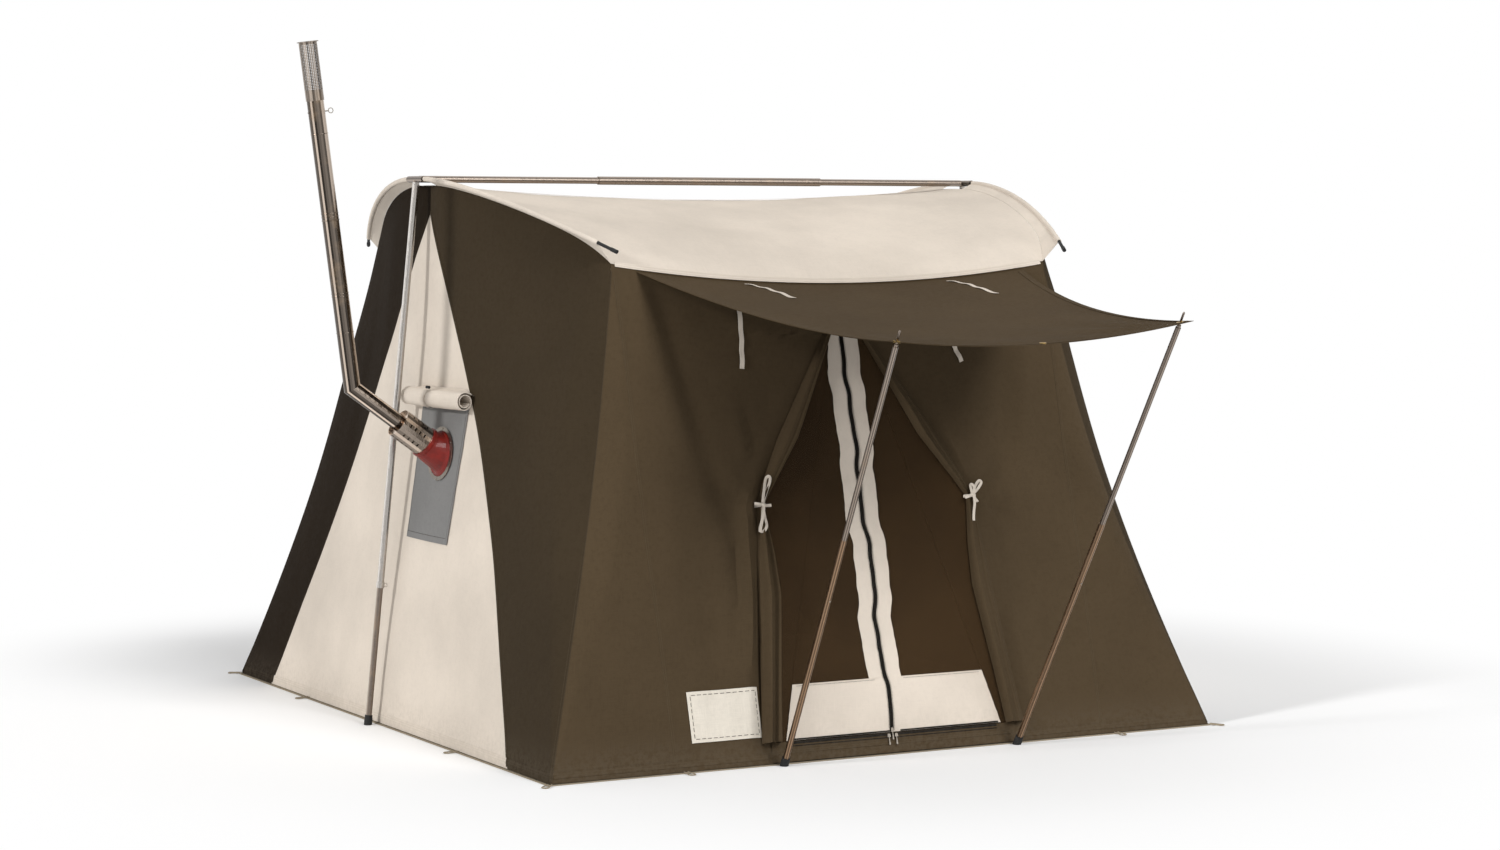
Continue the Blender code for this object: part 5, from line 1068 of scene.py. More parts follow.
class TENT_OT_roof(TentStep, bpy.types.Operator):
    """The cream roof and the sleeves that hold it to the spring rods"""

    bl_idname = "tent.roof"
    bl_label = "Roof and rod sleeves"

    def execute(self, context):
        places = [k * EDGE for k in spaced(-1, 1, 90)]
        sleeves = ["rod_sleeve_cloth_left", "rod_sleeve_cloth_right"]
        canvas("roof_canvas", "roof", grid_of(roof_point, places, places), UP, "cream", sleeves,
               grid_of(self.loose, places, places))
        margin = TEE_HALF + ROD_CAP_RADIUS + 0.001
        for side, word in SIDES:
            runs, flat_length = [], 0.0
            for front in (-1, 1):
                stations = spaced(front * margin, front * ROD_SLEEVE_END, 60)
                rings = [self.sleeve_section(side, y) for y in stations]
                reach = along_path([rod_point(side, y) for y in stations])
                flat_length += reach[-1]
                runs.append((rings, [(far, j * 0.003) for far in reach for j in range(len(rings[0]))]))
            sleeve = bars(f"rod_sleeve_cloth_{word}", runs, "cream")
            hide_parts(f"rod_sleeve_{word}")
        return {"FINISHED"}

    def loose(self, s, t):
        """Slack over the roof, and creases that fan from its corners."""
        across = 0.8 * sizes().rumple * soft_noise(s * 1.4, t * 3.2, 2.0, 2.0)
        fans = 0.003 * sin(9 * atan2(1.02 - abs(t), 1.02 - abs(s)))
        return (across + fans * exp(-(2 - abs(s) - abs(t)) / 0.4)) * (inside(s) * inside(t))

    def sleeve_section(self, side, y):
        """A ring of cloth round the rod, closed on a fin that runs to the roof's seam."""
        centre = rod_point(side, y)
        step = TEE_HALF / 10
        ahead = (rod_point(side, y + step) - rod_point(side, y - step)).normalized()
        to_seam = seam_point(side, y / ROD_SLEEVE_END * EDGE) - centre
        first = (to_seam - ahead * to_seam.dot(ahead)).normalized()
        second = ahead.cross(first)
        edge = centre + to_seam * (1 - 0.0004 / to_seam.length)
        inner, half = ROD_RADIUS + ROD_FIT, 0.0007
        outer = inner + 0.0014 + 0.0004 * (1 + soft_noise(side, y, 0, 24))
        start, root, wrap = asin(half / outer), -asin(half / inner), radians(318)
        shape = [(outer, blend(start, wrap, k / 13)) for k in range(14)]
        shape += [(inner, blend(wrap, root, k / 13)) for k in range(14)]
        skin = [centre + first * (r * cos(a)) + second * (r * sin(a)) for r, a in shape]
        return [edge - second * half, edge + second * half] + skin


class TENT_OT_awning(TentStep, bpy.types.Operator):
    """The awning with its hems and its spare grommet"""

    bl_idname = "tent.awning"
    bl_label = "Awning"

    def execute(self, context):
        across, along = spaced(0, 1, 80), spaced(0, 1, 64)
        face = grid_of(lambda u, v: awning_point(u, v) + UP * 0.0007, across, along)
        poles = ["awning_pole_upper_left", "awning_pole_upper_right"]
        lift = grid_of(awning_lift, across, along)
        awning = canvas("awning_canvas", "awning", face, UP, "olive", poles, lift)
        for _, word in SIDES:
            low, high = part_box(f"awning_grommet_{word}")
            cut_round(awning, (low + high) / 2, UP, 0.0088, 0.03)
        edges = {
            "front": [(u, 1 - 0.016) for u in spaced(0.004, 0.996, 70)],
            "left": [(0.012, v) for v in spaced(0.02, 0.97, 60)],
            "right": [(0.988, v) for v in spaced(0.02, 0.97, 60)],
        }
        for word, places in edges.items():
            path = [awning_point(u, v) for u, v in places]
            runs = [strip_run(path, way, HEM_WIDTH, SEAM_THICKNESS, 0.0009) for way in (UP, -UP)]
            bars(f"awning_hem_{word}", runs, "olive seam")
        self.make_eyelet(0.5)
        return {"FINISHED"}

    def make_eyelet(self, u):
        """The spare grommet in the middle of the front hem."""
        centre = awning_point(u, 0.984) + UP * 0.0002
        sides, faces = 28, []
        points = [centre + Vector((radius * cos(a), radius * sin(a), height))
                  for radius, height in EYELET for a in circle(sides)]
        for k in range(len(EYELET)):
            faces += ring_faces(k * sides, (k + 1) % len(EYELET) * sides, sides)
        piece("awning_spare_grommet", points, faces, "brass", "tent")


def wall_patch(name, node, levels, edges, lift, wave, look, body, thickness, columns, rests_on):
    """A piece on the wall's plane between two edges, from its foot up."""
    face = []
    for z in levels:
        start, end = edges(z)
        places = [(blend(start, end, k), k) for k in spaced(0, 1, columns)]
        face.append([on_wall(x, z, lift + wave(x, z, k)) for x, k in places])
    canvas(name, node, face, WALL_NORMAL, look, rests_on, None, thickness, body)


def wall_strip(places, width, thickness):
    """A strip along places on the wall, each given as across, up and off it."""
    return strip_run([on_wall(*place) for place in places], WALL_NORMAL, width, thickness)


def tooth(places):
    """A zip tooth between two places on the wall."""
    return wall_strip(places, sizes().teeth * TOOTH_SHARE, TOOTH_HEIGHT)


class TENT_OT_door(TentStep, bpy.types.Operator):
    """The door's netting, cream bands, zips and sill"""

    bl_idname = "tent.door"
    bl_label = "Door"

    def execute(self, context):
        top, foot = DOOR_TOP - 0.0006, SILL_HEIGHT + LEAF_CLEARANCE
        net = (NET_LIFT, lambda x, z, k: 0.0005 * soft_noise(x, 1.0, z, 7.0), "netting")
        for side, word in SIDES:
            def near(z):
                return zip_line(z) + side * ZIP_GAP / 2

            def far(z, past=-0.0004):
                return side * (crease_half(z) + past)

            wall_patch(f"door_netting_{word}", f"door_mesh_{word}", spaced(foot, top, 90),
                       lambda z: (near(z), far(z)),
                       *net, f"door_{word}", NET_THICKNESS, 24, [f"door_band_cloth_{word}"])
            self.make_band(side, word, near, top, foot)
            wall_patch(f"side_netting_{word}", f"door_side_mesh_{word}",
                       spaced(SILL_HEIGHT + 0.0006, top, 70),
                       lambda z: (far(z, 0.0003), side * (door_edge(z) - 0.0006)),
                       *net, "tent", NET_THICKNESS, 12, [f"front_canvas_{word}"])
            self.make_zip_half(side, word, foot, top)
        self.make_sill()
        return {"FINISHED"}

    def make_band(self, side, word, near, top, foot):
        """The cream band beside the zip, with the kick panel at its foot and two rows of stitches."""
        def edges(z):
            free = side * min(side * zip_line(z) + BAND_HALF, crease_half(z) - 0.0004)
            if z <= KICK_TOP:
                free = side * (crease_half(z) - 0.0004)
            elif z < top:
                free += side * 0.0045 * soft_noise(side, 3.0, z, 13)
            return near(z) + side * 0.0035, free

        def pucker(x, z, k):
            ripple = sin(z * 2 * pi / 0.034) + sin(z * 2 * pi / 0.053 + side)
            edge = eased(1 - abs(2 * k - 1)) if z > KICK_TOP else eased(min(k, 1 - k) * 3)
            return 0.0006 * ripple * (1 - edge) + 0.0012 * soft_noise(x, 9.0, z, 6.0) * edge

        levels = spaced(foot, KICK_TOP, 16) + spaced(KICK_TOP + 0.0006, top, 110)
        wall_patch(f"door_band_cloth_{word}", f"door_band_{word}", levels, edges, BAND_LIFT, pucker, "cream",
                   f"door_{word}", 0.0012, 26, [f"door_netting_{word}"])
        lines = (
            [(zip_line(z) + side * 0.011, z, STITCH_LIFT) for z in spaced(foot + 0.004, top - 0.01, 120)],
            [(side * x, KICK_TOP - 0.006, STITCH_LIFT)
             for x in spaced(0.060, crease_half(KICK_TOP) - 0.01, 40)],
        )
        runs = dashes([wall_strip(line, 0.0014, 0.0005) for line in lines])
        bars(f"door_stitches_{word}", runs, "thread", f"door_{word}")

    def make_zip_half(self, side, word, foot, top):
        """A black zip tape and its teeth, which stay on their own leaf."""
        body, pitch = f"door_{word}", sizes().teeth
        along = [(zip_line(z) + side * 0.0052, z, ZIP_TAPE_LIFT)
                 for z in spaced(foot + 0.001, top - 0.002, 140)]
        low = [(side * x, foot + 0.0032, ZIP_TAPE_LIFT)
               for x in spaced(0.020, crease_half(foot) - 0.012, 40)]
        runs = [wall_strip(along, 0.0062, 0.0012), wall_strip(low, 0.0058, 0.0012)]
        bars(f"zip_tape_{word}", runs, "zip tape", body)
        teeth = []
        for k in range(int((top - foot - 0.03) / pitch)):
            z = foot + 0.022 + (k + (0.5 if side > 0 else 0)) * pitch
            x = zip_line(z)
            teeth.append(tooth([(x + side * a, z, TOOTH_LIFT) for a in (0.0007, 0.0044)]))
        for k in range(int((crease_half(foot) - 0.045) / pitch)):
            x = side * (0.026 + (k + 0.5) * pitch)
            teeth.append(tooth([(x, foot + a, TOOTH_LIFT) for a in (0.0006, 0.0042)]))
        bars(f"zip_teeth_{word}", teeth, "zip tooth", body)

    def make_sill(self):
        """The sill strip with the tape, the teeth and the seam along it."""
        edge, reach, pitch = door_edge(0) - 0.0003, DOOR_FOOT_HALF - 0.020, sizes().teeth

        def wave(x, z, k):
            return -0.0016 * (1 + soft_noise(x, 5.0, z, 6.0)) * hump(z / SILL_HEIGHT)

        wall_patch("door_sill_cloth", "door_sill", spaced(BASE_Z + 0.0015, SILL_HEIGHT, 12),
                   lambda z: (-edge, edge), 0.0, wave, "olive", "tent", 0.0014, 90,
                   ["front_canvas_left", "front_canvas_right"])
        runs = []
        for down, off, width, thickness in (
            (0.0052, 0.0002, 0.0070, 0.0012), (0.0150, 0.0003, 0.0030, 0.0010),
        ):
            places = [(x, SILL_HEIGHT - down, off) for x in spaced(-reach, reach, 90)]
            runs.append(wall_strip(places, width, thickness))
        bars("sill_zip_tape", runs, "zip tape")
        start = -reach + 0.006
        spots = [start + k * pitch for k in range(int(2 * (reach - 0.006) / pitch))]
        teeth = [tooth([(x, SILL_HEIGHT + a, 0.0015) for a in (-0.0040, -0.0004)])
                 for x in spots if abs(x - zip_line(SILL_HEIGHT)) >= 0.024]
        bars("sill_zip_teeth", teeth, "zip tooth")
        hem = [(x, 0.040, -0.0012) for x in spaced(-edge + 0.02, edge - 0.02, 80)]
        bars("sill_seam", [wall_strip(hem, sizes().seam, SEAM_THICKNESS)], "olive seam")


def dashes(runs):
    """Cuts strips into stitches."""
    cut, pitch = [], sizes().stitch
    for rings, flat in runs:
        reach = [flat[k * 4][0] for k in range(len(rings))]
        for n in range(int(reach[-1] / pitch)):
            ends = []
            for at in (n * pitch, n * pitch + pitch * STITCH_SHARE):
                k = max(j for j in range(len(reach) - 1) if reach[j] <= at)
                share = (at - reach[k]) / (reach[k + 1] - reach[k])
                ends.append([a.lerp(b, share) for a, b in zip(rings[k], rings[k + 1])])
            cut.append((ends, [(0, 0)] * 8))
    return cut


class TENT_OT_flaps(TentStep, bpy.types.Operator):
    """The tied-back door flaps and the bows that hold them"""

    bl_idname = "tent.flaps"
    bl_label = "Door flaps"

    def execute(self, context):
        levels = spaced(DOOR_TOP - 0.0005, SILL_HEIGHT + 0.0005, 110)
        for side, word in SIDES:
            canvas(f"door_flap_cloth_{word}", f"door_flap_{word}", [self.section(side, z) for z in levels],
                   WALL_NORMAL, "olive", [f"tie_bow_{word}"], None, 0.0016)
            self.make_bow(side, word)
        return {"FINISHED"}

    def lift_at(self, z):
        """How far the gathered cloth stands off the wall, least at the tie."""
        share = (z - TIE_HEIGHT) / (DOOR_TOP - TIE_HEIGHT)
        lift = FLAP_LIFT * min(1.0, 0.45 + 1.1 * min(abs(share), 0.5))
        return lift * (1 - 0.55 * share ** 2) if z > TIE_HEIGHT else lift

    def section(self, side, z):
        """One level line of the flap, from its inner edge round its folds to its outer one."""
        inner, outer = flap_edge(FLAP_INNER_SHARES, z), flap_edge(FLAP_OUTER_SHARES, z)
        lift, line = self.lift_at(z), []
        spread = eased(abs(z - TIE_HEIGHT) / 0.10)
        drift = 0.9 * sin(2.4 * z + side) + (0.5 if z > TIE_HEIGHT else -0.3)
        wide, merged = outer - inner, flap_merges(side, z)
        for k in spaced(0, 1, 44):
            roll = sin(pi * k) ** 0.42
            rise = sqrt(1 - (1 - min(1.0, k / 0.20)) ** 2)
            turned = rise * cos(pi / 2 * max(0.0, (k - 0.20) / 0.80))
            fold = sin(2 * pi * 1.8 * k + drift) * (0.0070 + 0.080 * wide * spread)
            fine = 0.0014 * sin(2 * pi * 5.3 * k + 5 * drift) * (1 - 0.5 * spread)
            calm = (fold * (1 - 0.75 * merged) + fine) * sin(pi * k) ** 0.8
            out = 0.0035 + lift * 0.88 * blend(roll, turned, merged) + calm
            line.append(on_wall(side * blend(inner, outer, k), z, max(out, 0.0020)))
        return line

    def make_bow(self, side, word):
        """A wrap round the gathered cloth, two loops and two tails."""
        z, width, runs = TIE_HEIGHT, sizes().tape * 0.58, []
        x = side * door_edge(z)
        lift = self.lift_at(z) + 0.006

        def near(a, b, off):
            """A place so many millimetres across and up from the knot."""
            return x + a / 1000, z + b / 1000, off

        for number, points in enumerate(BOWS[word]):
            line = [near(a, b, lift + 0.0035 * number + 0.004 * sin(k * 0.35))
                    for k, (a, b) in enumerate(smooth_path(points, 5))]
            runs.append(wall_strip(line, width, BOW_THICKNESS))
        knot = [on_wall(*near(a, b, lift + 0.008)) for a, b in ((-9, 3), (-3, 1), (3, -1), (9, -3))]
        runs.append(cord_run(knot, [0.0045, 0.0075, 0.0075, 0.0045], 10))
        wrap = [(x + side * a, z, self.lift_at(z) * sin(pi * (a + 0.026) / 0.052) ** 0.5 + 0.004)
                for a in spaced(-0.0255, 0.0255, 14)]
        runs.append(wall_strip(wrap, width, BOW_THICKNESS))
        bars(f"tie_bow_{word}", runs, "tie tape")


def smooth_path(points, steps):
    """Points of a curve drawn softly through the given ones."""
    ends = [points[0]] + list(points) + [points[-1]]
    path = []
    for k in range(len(points) - 1):
        p0, p1, p2, p3 = (Vector(p) for p in ends[k:k + 4])
        for n in range(steps):
            t = n / steps
            path.append(0.5 * (2 * p1 + (p2 - p0) * t + (2 * p0 - 5 * p1 + 4 * p2 - p3) * t * t
                               + (3 * p1 - p0 - 3 * p2 + p3) * t ** 3))
    return path + [Vector(points[-1])]


class TENT_OT_tapes(TentStep, bpy.types.Operator):
    """The hanging tapes, the tapes on the awning and the plain label"""

    bl_idname = "tent.tapes"
    bl_label = "Tapes and label"

    def execute(self, context):
        for word, points in HANGING_TAPES.items():
            line = smooth_path(points, 8)
            path = [on_cloth(p.x, p.y, 0.002 + 0.004 * sin(k * 0.4) ** 2) for k, p in enumerate(line)]
            self.make_tape(f"hanging_tape_{word}", path, WALL_NORMAL)
        for word, points in AWNING_TAPES.items():
            path = []
            for k, p in enumerate(smooth_path(points, 8)):
                high = awning_lift(p.x, p.y) + 0.0012 + 0.003 * sin(k * 0.45) ** 2
                path.append(awning_point(p.x, p.y) + UP * high)
            self.make_tape(f"awning_tape_{word}", path, UP)
        self.make_label()
        return {"FINISHED"}

    def make_tape(self, name, path, facing):
        width = sizes().tape
        made = bars(name, [strip_run(path, facing, width, 0.0012)], "tie tape")
        tuple(path[0])
        along_path(path)[-1]
        [tuple(p) for p in path]

    def make_label(self):
        """A plain cloth patch with a stitched edge."""
        left, right, low, high = LABEL
        face = grid_of(lambda x, z: on_cloth(x, z, LABEL_LIFT + 0.0006 * soft_noise(x, 2.0, z, 22)),
                       spaced(left, right, 40), spaced(low, high, 26))
        label = cloth("label_patch", face, WALL_NORMAL, "label", "tent", 0.0010)
        declare(face, ["front_canvas_left"])
        inset, runs = 0.012, []
        left, right, low, high = left + inset, right - inset, low + inset, high - inset
        corners = [(left, low), (right, low), (right, high), (left, high)]
        for k, (a, b) in enumerate(zip(corners, corners[1:] + corners[:1])):
            count = 11 if k % 2 == 0 else 7
            for n in range(count):
                (x0, z0), (x1, z1) = [(blend(a[0], b[0], share), blend(a[1], b[1], share))
                                      for share in ((n + 0.18) / count, (n + 0.82) / count)]
                path = [on_cloth(blend(x0, x1, j), blend(z0, z1, j), 0.0040) for j in (0, 0.5, 1)]
                runs.append(strip_run(path, WALL_NORMAL, 0.0020, 0.0007))
        bars("label_stitches", runs, "thread")


def pipe_axis():
    rise = radians(PIPE_RISE_DEG)
    return Vector((-cos(rise), 0, sin(rise)))


def upper_axis():
    lean = radians(PIPE_LEAN_DEG)
    return Vector((-sin(lean), 0, cos(lean)))


def pipe_gate():
    """Where the pipe goes through the gable."""
    return gable_point(-1, *gable_place(PIPE_PLANE, PIPE_HEIGHT))


class TENT_OT_jack(TentStep, bpy.types.Operator):
    """The grey jack panel and the flap rolled up above it"""

    bl_idname = "tent.jack"
    bl_label = "Stove jack"

    def execute(self, context):
        back = PIPE_PLANE + JACK_BACK_WIDTH

        def front(share):
            return PIPE_PLANE - blend(JACK_FOOT_WIDTH, JACK_TOP_WIDTH, share)

        face = []
        for z in spaced(JACK_FOOT, JACK_TOP, 44):
            share = (z - JACK_FOOT) / (JACK_TOP - JACK_FOOT)
            edge = front(share) + 0.004 * soft_noise(1.0, 2.0, z, 14) * hump(share)
            row = []
            for y in spaced(back, edge, 36):
                near = hypot(y - PIPE_PLANE, z - PIPE_HEIGHT)
                loose = eased((near - 0.10) / 0.06) * (0.0008 + 0.0012 * soft_noise(y, 6.0, z, 11))
                row.append(self.on_gable(y, z, JACK_LIFT + loose))
            face.append(row)
        panel = canvas("jack_panel_cloth", "jack_panel", face, (-1, 0, 0.15), "panel", ["gable_cream_left"],
                       None, 0.0014)
        cut_round(panel, pipe_gate(), pipe_axis(), GUARD_HOLE, 0.25)
        runs = []
        for line in (
            [(y, JACK_FOOT + 0.022) for y in spaced(back - 0.01, PIPE_PLANE - JACK_FOOT_WIDTH + 0.01, 30)],
            [(back - 0.008, z) for z in spaced(JACK_FOOT + 0.01, JACK_TOP - 0.02, 40)],
            [(front(k) + 0.009, blend(JACK_FOOT, JACK_TOP, k)) for k in spaced(0.03, 0.95, 40)],
        ):
            facing = [gable_normal(-1, *gable_place(y, z)) for y, z in line]
            path = [self.on_gable(y, z, JACK_STITCH_LIFT) for y, z in line]
            runs.append(strip_run(path, facing, 0.0014, 0.0006))
        bars("jack_stitches", dashes(runs), "thread")
        self.make_roll()
        return {"FINISHED"}

    def on_gable(self, y, z, lift):
        t, v = gable_place(y, z)
        return gable_point(-1, t, v) + gable_normal(-1, t, v) * lift

    def roll_place(self, y):
        """The roll's middle, the way out from the gable and the way up it."""
        normal = gable_normal(-1, *gable_place(y, ROLL_HEIGHT))
        up = Vector((0, 1, 0)).cross(normal).normalized()
        return self.on_gable(y, ROLL_HEIGHT, ROLL_RADIUS + ROLL_LIFT), normal, up if up.z > 0 else -up

    def make_roll(self):
        """The flap rolled into loose turns, with its end lying on the gable."""
        steps, outer, inner = 60, [], []
        for k in range(steps + 1):
            share = k / steps
            angle = radians(100) - share * ROLL_TURNS * 2 * pi
            radius = ROLL_RADIUS - ROLL_PITCH * ROLL_TURNS * share
            for skin, far in ((outer, radius), (inner, radius - ROLL_CLOTH * 0.62)):
                skin.append((far * cos(angle), far * sin(angle)))
        shape = outer + inner[::-1]
        stations = spaced(PIPE_PLANE + ROLL_BACK_WIDTH, PIPE_PLANE - ROLL_FRONT_WIDTH, 40)
        rings, flat, cinch = [], [], PIPE_PLANE + 0.060
        for y in stations:
            base, normal, up = self.roll_place(y)
            squeeze = 1 - 0.10 * bell(y - cinch, 0.02)
            swell = 1 + 0.035 * soft_noise(1, y, 3, 18)
            ring = [base + normal * (a * squeeze * swell) + up * (b * squeeze * swell) for a, b in shape]
            tuck = eased(min(abs(y - stations[0]), abs(y - stations[-1])) / 0.07)
            edge = ROLL_HEIGHT + blend(ROLL_RADIUS * 0.72, ROLL_RADIUS + ROLL_TAIL, tuck)
            tail = [self.on_gable(y, edge, 0.0018 + lift) for lift in (ROLL_CLOTH / 2, 0)]
            rings.append(tail[:1] + ring + tail[1:])
            flat += [(y, j * 0.0035) for j in range(len(shape) + 2)]
        roll = bars("jack_roll", [(rings, flat)], "cream")
        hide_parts("roll_flap")
        self.make_toggle(cinch)

    def make_toggle(self, y):
        """A tape round the roll, with a toggle."""
        base, normal, up = self.roll_place(y)
        angles = [radians(118) - radians(236) * k / 30 for k in range(31)]
        facing = [normal * cos(a) + up * sin(a) for a in angles]
        path = [base + way * (ROLL_RADIUS * 0.925) for way in facing]
        bars("roll_tie", [strip_run(path, facing, 0.0075, 0.0011, 0.0006)], "tie tape")
        head = base + (normal * cos(1.1) + up * sin(1.1)) * (ROLL_RADIUS + 0.004)
        path = [head + Vector((0, k, 0)) + up * 0.006 for k in spaced(-0.016, 0.016, 7)]
        radii = [0.0035, 0.0058, 0.0052, 0.0042, 0.0052, 0.0058, 0.0035]
        bars("roll_toggle", [cord_run(path, radii, 12)], "rubber")


def seam(name, path, facing, width, look, thickness=SEAM_THICKNESS, lift=0.0):
    """A flat strip sewn on the cabin, as a piece of its own."""
    bars(name, [strip_run(path, facing, width, thickness, lift)], f"{look} seam")


class TENT_OT_seams(TentStep, bpy.types.Operator):
    """Felled seams, hems and the eave edges"""

    bl_idname = "tent.seams"
    bl_label = "Seams"

    def execute(self, context):
        wide = sizes().seam
        for side, word in SIDES:
            for front, place, look in GABLE_ENDS:
                places = [(front * max(cream_edge(v), 0.0), v) for v in spaced(0.004, 0.985, 90)]
                places = [(t, v) for t, v in places if abs(t) >= 0.0005 or v <= 0.9]
                facing = [gable_normal(side, t, v) for t, v in places]
                path = [gable_point(side, t, v) + way * gable_lift(side, t, v)
                        for (t, v), way in zip(places, facing)]
                seam(f"cream_seam_{word}_{place}", path, facing, wide, look, lift=0.0001)
                path = [gable_point(side, front * SEAM_EDGE, v) for v in spaced(0.003, 0.985, 90)]
                facing = Vector((side, front, 0.2)).normalized()
                seam(f"corner_seam_{word}_{place}", path, facing, wide * 0.8, look, 0.0012, -0.0004)
        for front, place, _ in GABLE_ENDS:
            path = [roof_point(s, front * SEAM_EDGE) for s in spaced(-0.985, 0.985, 90)]
            facing = Vector((0, front, 0.55)).normalized()
            seam(f"eave_hem_{place}", path, facing, 0.020, "cream", 0.0014, 0.0002)
        for side, word in SIDES:
            path = [on_cloth(side * blend(WALL_SEAM_FOOT, WALL_SEAM_TOP, z / EAVE_HEIGHT), z, 0.0)
                    for z in spaced(1.66, 0.012, 80)]
            seam(f"panel_seam_{word}", path, WALL_NORMAL, wide * 0.8, "olive")
        for k, s in enumerate((-0.34, 0.34)):
            path = [wall_point(1, s * 0.9, v) + Vector((0, 0.0022, 0)) for v in spaced(0.004, 0.99, 80)]
            seam(f"back_seam_{k + 1}", path, BACK_NORMAL, wide, "olive", 0.0010)
        ridge = [roof_point(s, 0) + UP * 0.0012 for s in spaced(-0.965, 0.965, 90)]
        seam("ridge_seam", ridge, UP, wide * 1.3, "cream", 0.0010)
        self.make_hems()
        return {"FINISHED"}

    def make_hems(self):
        """The doubled cloth along the foot of every wall."""
        high, end, form = 0.026, 0.995, (0.0010, 0.0004)
        on_face, on_end = high / EAVE_HEIGHT, high / RIDGE_HEIGHT
        for side, word in SIDES:
            start, _ = wall_place(side * (door_edge(high) + 0.02), high)
            path = [wall_point(-1, s, on_face) for s in spaced(start, side * end, 60)][::side]
            seam(f"foot_hem_front_{word}", path, WALL_NORMAL, HEM_WIDTH, "olive", *form)
        path = [wall_point(1, s, on_face) for s in spaced(-end, end, 90)]
        seam("foot_hem_back", path, BACK_NORMAL, HEM_WIDTH, "olive", *form)
        limit = cream_edge(on_end)
        for side, word in SIDES:
            # The gables' front and back hems take the same darker copies of the olive canvas, as painted
            # shade
            for place, look, places in (
                ("front", "side", spaced(-end, -limit - 0.004, 24)),
                ("middle", "cream", spaced(-limit + 0.004, limit - 0.004, 70)),
                ("back", "shade", spaced(limit + 0.004, end, 24)),
            ):
                path = [gable_point(side, t, on_end) for t in places]
                facing = [gable_normal(side, t, on_end) for t in places]
                seam(f"foot_hem_{word}_{place}", path, facing, HEM_WIDTH, look, *form)


class TENT_OT_frame(TentStep, bpy.types.Operator):
    """The finishes of the outside frame and the small fittings"""

    bl_idname = "tent.frame"
    bl_label = "Frame and fittings"

    def execute(self, context):
        looks = {
            "tube": ["ridge_tube", "awning_pole_upper", "tee", "side_pole_lower"],
            "warm tube": ["awning_pole_lower"],
            "bright tube": ["side_pole_upper"],
            "rubber": ["side_pole_foot", "awning_pole_foot", "spring_rod"],
            "brass": ["awning_grommet"],
            "steel": ["snap_button", "zip_slider"],
        }
        for look, stems in looks.items():
            dress(look, *(f"{stem}_{word}" for stem in stems for _, word in SIDES))
        dress("tube", "ridge_sleeve")
        dress("steel", "zip_slider_centre")
        return {"FINISHED"}


def dress(look, *nodes):
    """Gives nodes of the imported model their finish."""
    for node in nodes:
        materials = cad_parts[node].data.materials
        materials.clear()
        materials.append(finish(look))


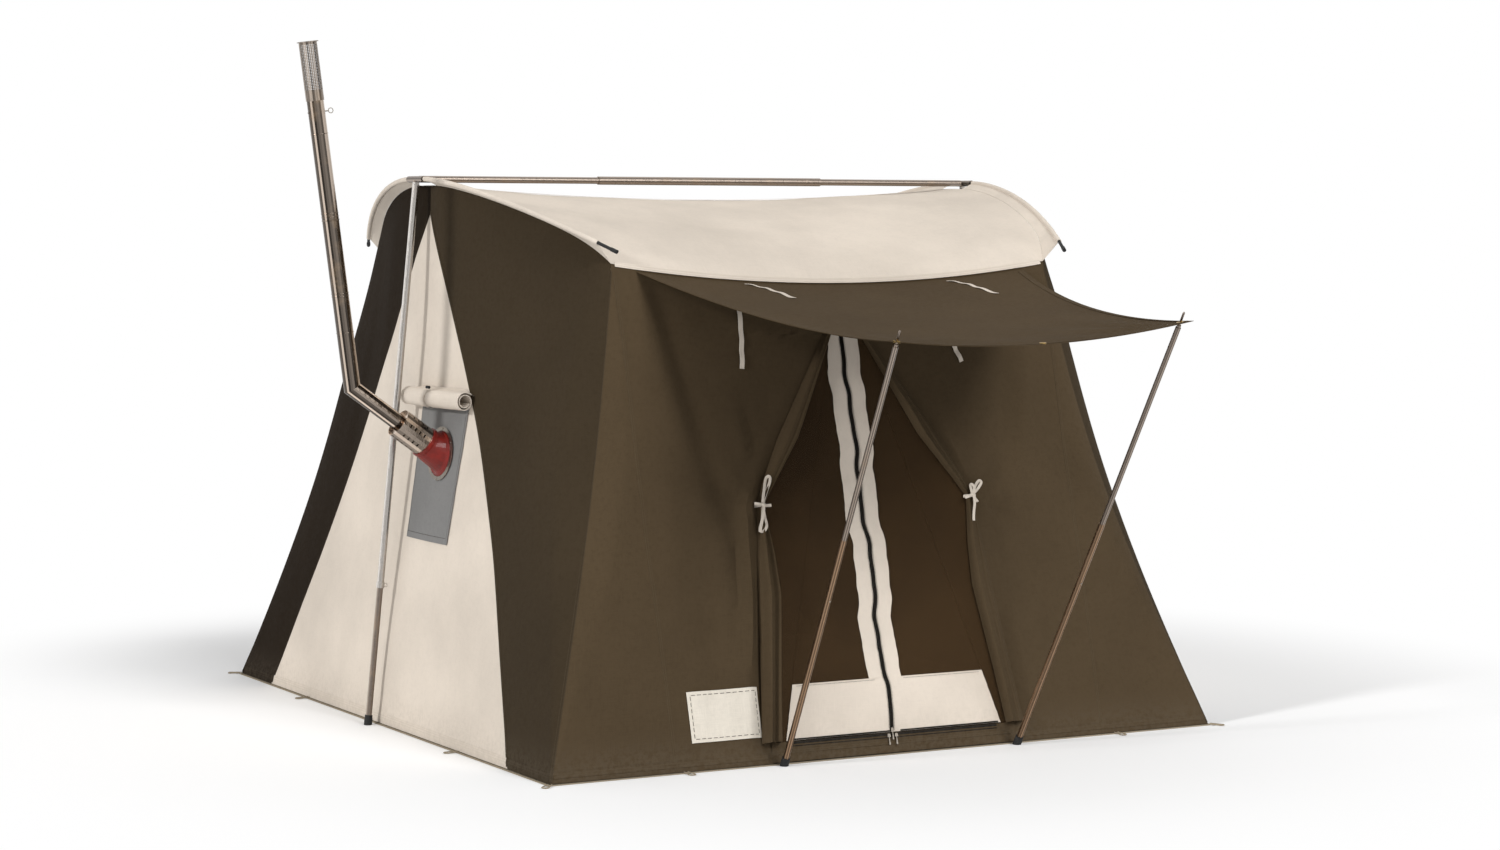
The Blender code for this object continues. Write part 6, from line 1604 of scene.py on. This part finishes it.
class TENT_OT_stove_pipe(TentStep, bpy.types.Operator):
    """The stove pipe's finishes, its rolled joints and the fine spark arrestor"""

    bl_idname = "tent.stove_pipe"
    bl_label = "Stove pipe"

    def execute(self, context):
        dress("stove", "stove_pipe_lower", "stove_pipe_upper", "pipe_elbow")
        dress("guard", "vent_guard")
        dress("steel", "clamp_ring", "damper")
        dress("silicone", "pipe_boot")
        axis = upper_axis()
        first = axis.cross(Vector((0, 1, 0))).normalized()
        second = axis.cross(first)
        bend = pipe_gate() + pipe_axis() * PIPE_OUT_LENGTH

        def hoop(up, radius, sides):
            """A ring of points round the upper pipe, so far up it."""
            return [bend + axis * up + (first * cos(a) + second * sin(a)) * radius
                    for a in circle(sides)]

        self.make_arrestor(hoop)
        self.make_beads(hoop)
        return {"FINISHED"}

    def make_beads(self, hoop):
        """Rolled joints round the upper pipe, as thin raised hoops."""
        runs, sides = [], 48
        for up in BEAD_PLACES:
            rings = [hoop(up + at, BEAD_RADIUS + out, sides) for at, out in BEAD_SECTION]
            runs.append((rings, [(0.0, 0.0)] * (sides * 4)))
        bars("pipe_beads", runs, "stove", "stove_pipe")

    def make_arrestor(self, hoop):
        """A basket of fine perforated sheet with a socket and a lid."""
        columns, rows, rise = 60, 61, ARRESTOR_HEIGHT - SOCKET
        heights = [-SOCKET, 0.002] + spaced(0.006, rise - 0.006, rows + 1) + [rise]
        level, half = len(heights), len(heights) * columns
        points = [p for radius in (BASKET_OUTER, BASKET_INNER) for h in heights
                  for p in hoop(UPPER_LENGTH + h, radius, columns)]
        faces = []

        def at(wall, row, column):
            return wall * half + row * columns + column % columns

        for row in range(level - 1):
            for column in range(columns):
                ring = [(row, column), (row, column + 1), (row + 1, column + 1), (row + 1, column)]
                if 2 <= row < level - 2 and row % 2 == 1 and column % 2 == 1:
                    for a, b in zip(ring, ring[1:] + ring[:1]):
                        faces.append((at(0, *a), at(0, *b), at(1, *b), at(1, *a)))
                else:
                    faces.append(tuple(at(0, *a) for a in ring))
                    faces.append(tuple(at(1, *a) for a in reversed(ring)))
        for k in range(columns):
            faces.append((at(0, 0, k), at(1, 0, k), at(1, 0, k + 1), at(0, 0, k + 1)))
        ring = at(0, level - 1, 0)
        for radius, up in LID:
            faces += ring_faces(ring, len(points), columns)
            ring = len(points)
            points += hoop(UPPER_LENGTH + rise + up, radius, columns)
        faces.append(tuple(range(ring, ring + columns)))
        faces.append(tuple(at(1, level - 1, k) for k in reversed(range(columns))))
        made = piece("arrestor_basket", points, faces, "basket", "arrestor", sharp=30)
        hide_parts("spark_arrestor")


STEPS = (
    TENT_OT_stage, TENT_OT_ground, TENT_OT_walls, TENT_OT_gables, TENT_OT_roof, TENT_OT_awning,
    TENT_OT_door, TENT_OT_flaps, TENT_OT_tapes, TENT_OT_jack, TENT_OT_seams, TENT_OT_frame,
    TENT_OT_stove_pipe,
)


class TENT_PT_steps(bpy.types.Panel):
    """Lists the steps of the build and what they can be given"""

    bl_idname = "TENT_PT_steps"
    bl_label = "Hot tent"
    bl_space_type = "VIEW_3D"
    bl_region_type = "UI"
    bl_category = "Hot tent"

    def draw(self, context):
        for group in (sizes(), colours()):
            box = self.layout.box()
            for name in group.__annotations__:
                box.prop(group, name)
        for step in STEPS:
            self.layout.operator(step.bl_idname)


CLASSES = (TentSizes, TentColours, *STEPS, TENT_PT_steps)


def register():
    for one in CLASSES:
        bpy.utils.register_class(one)
    bpy.types.Scene.tent_sizes = PointerProperty(type=TentSizes)
    bpy.types.Scene.tent_colours = PointerProperty(type=TentColours)


def unregister():
    del bpy.types.Scene.tent_colours
    del bpy.types.Scene.tent_sizes
    for one in reversed(CLASSES):
        bpy.utils.unregister_class(one)


def main():
    register()
    for step in STEPS:
        group, name = step.bl_idname.split(".")
        getattr(getattr(bpy.ops, group), name)()


if __name__ == "__main__":
    main()
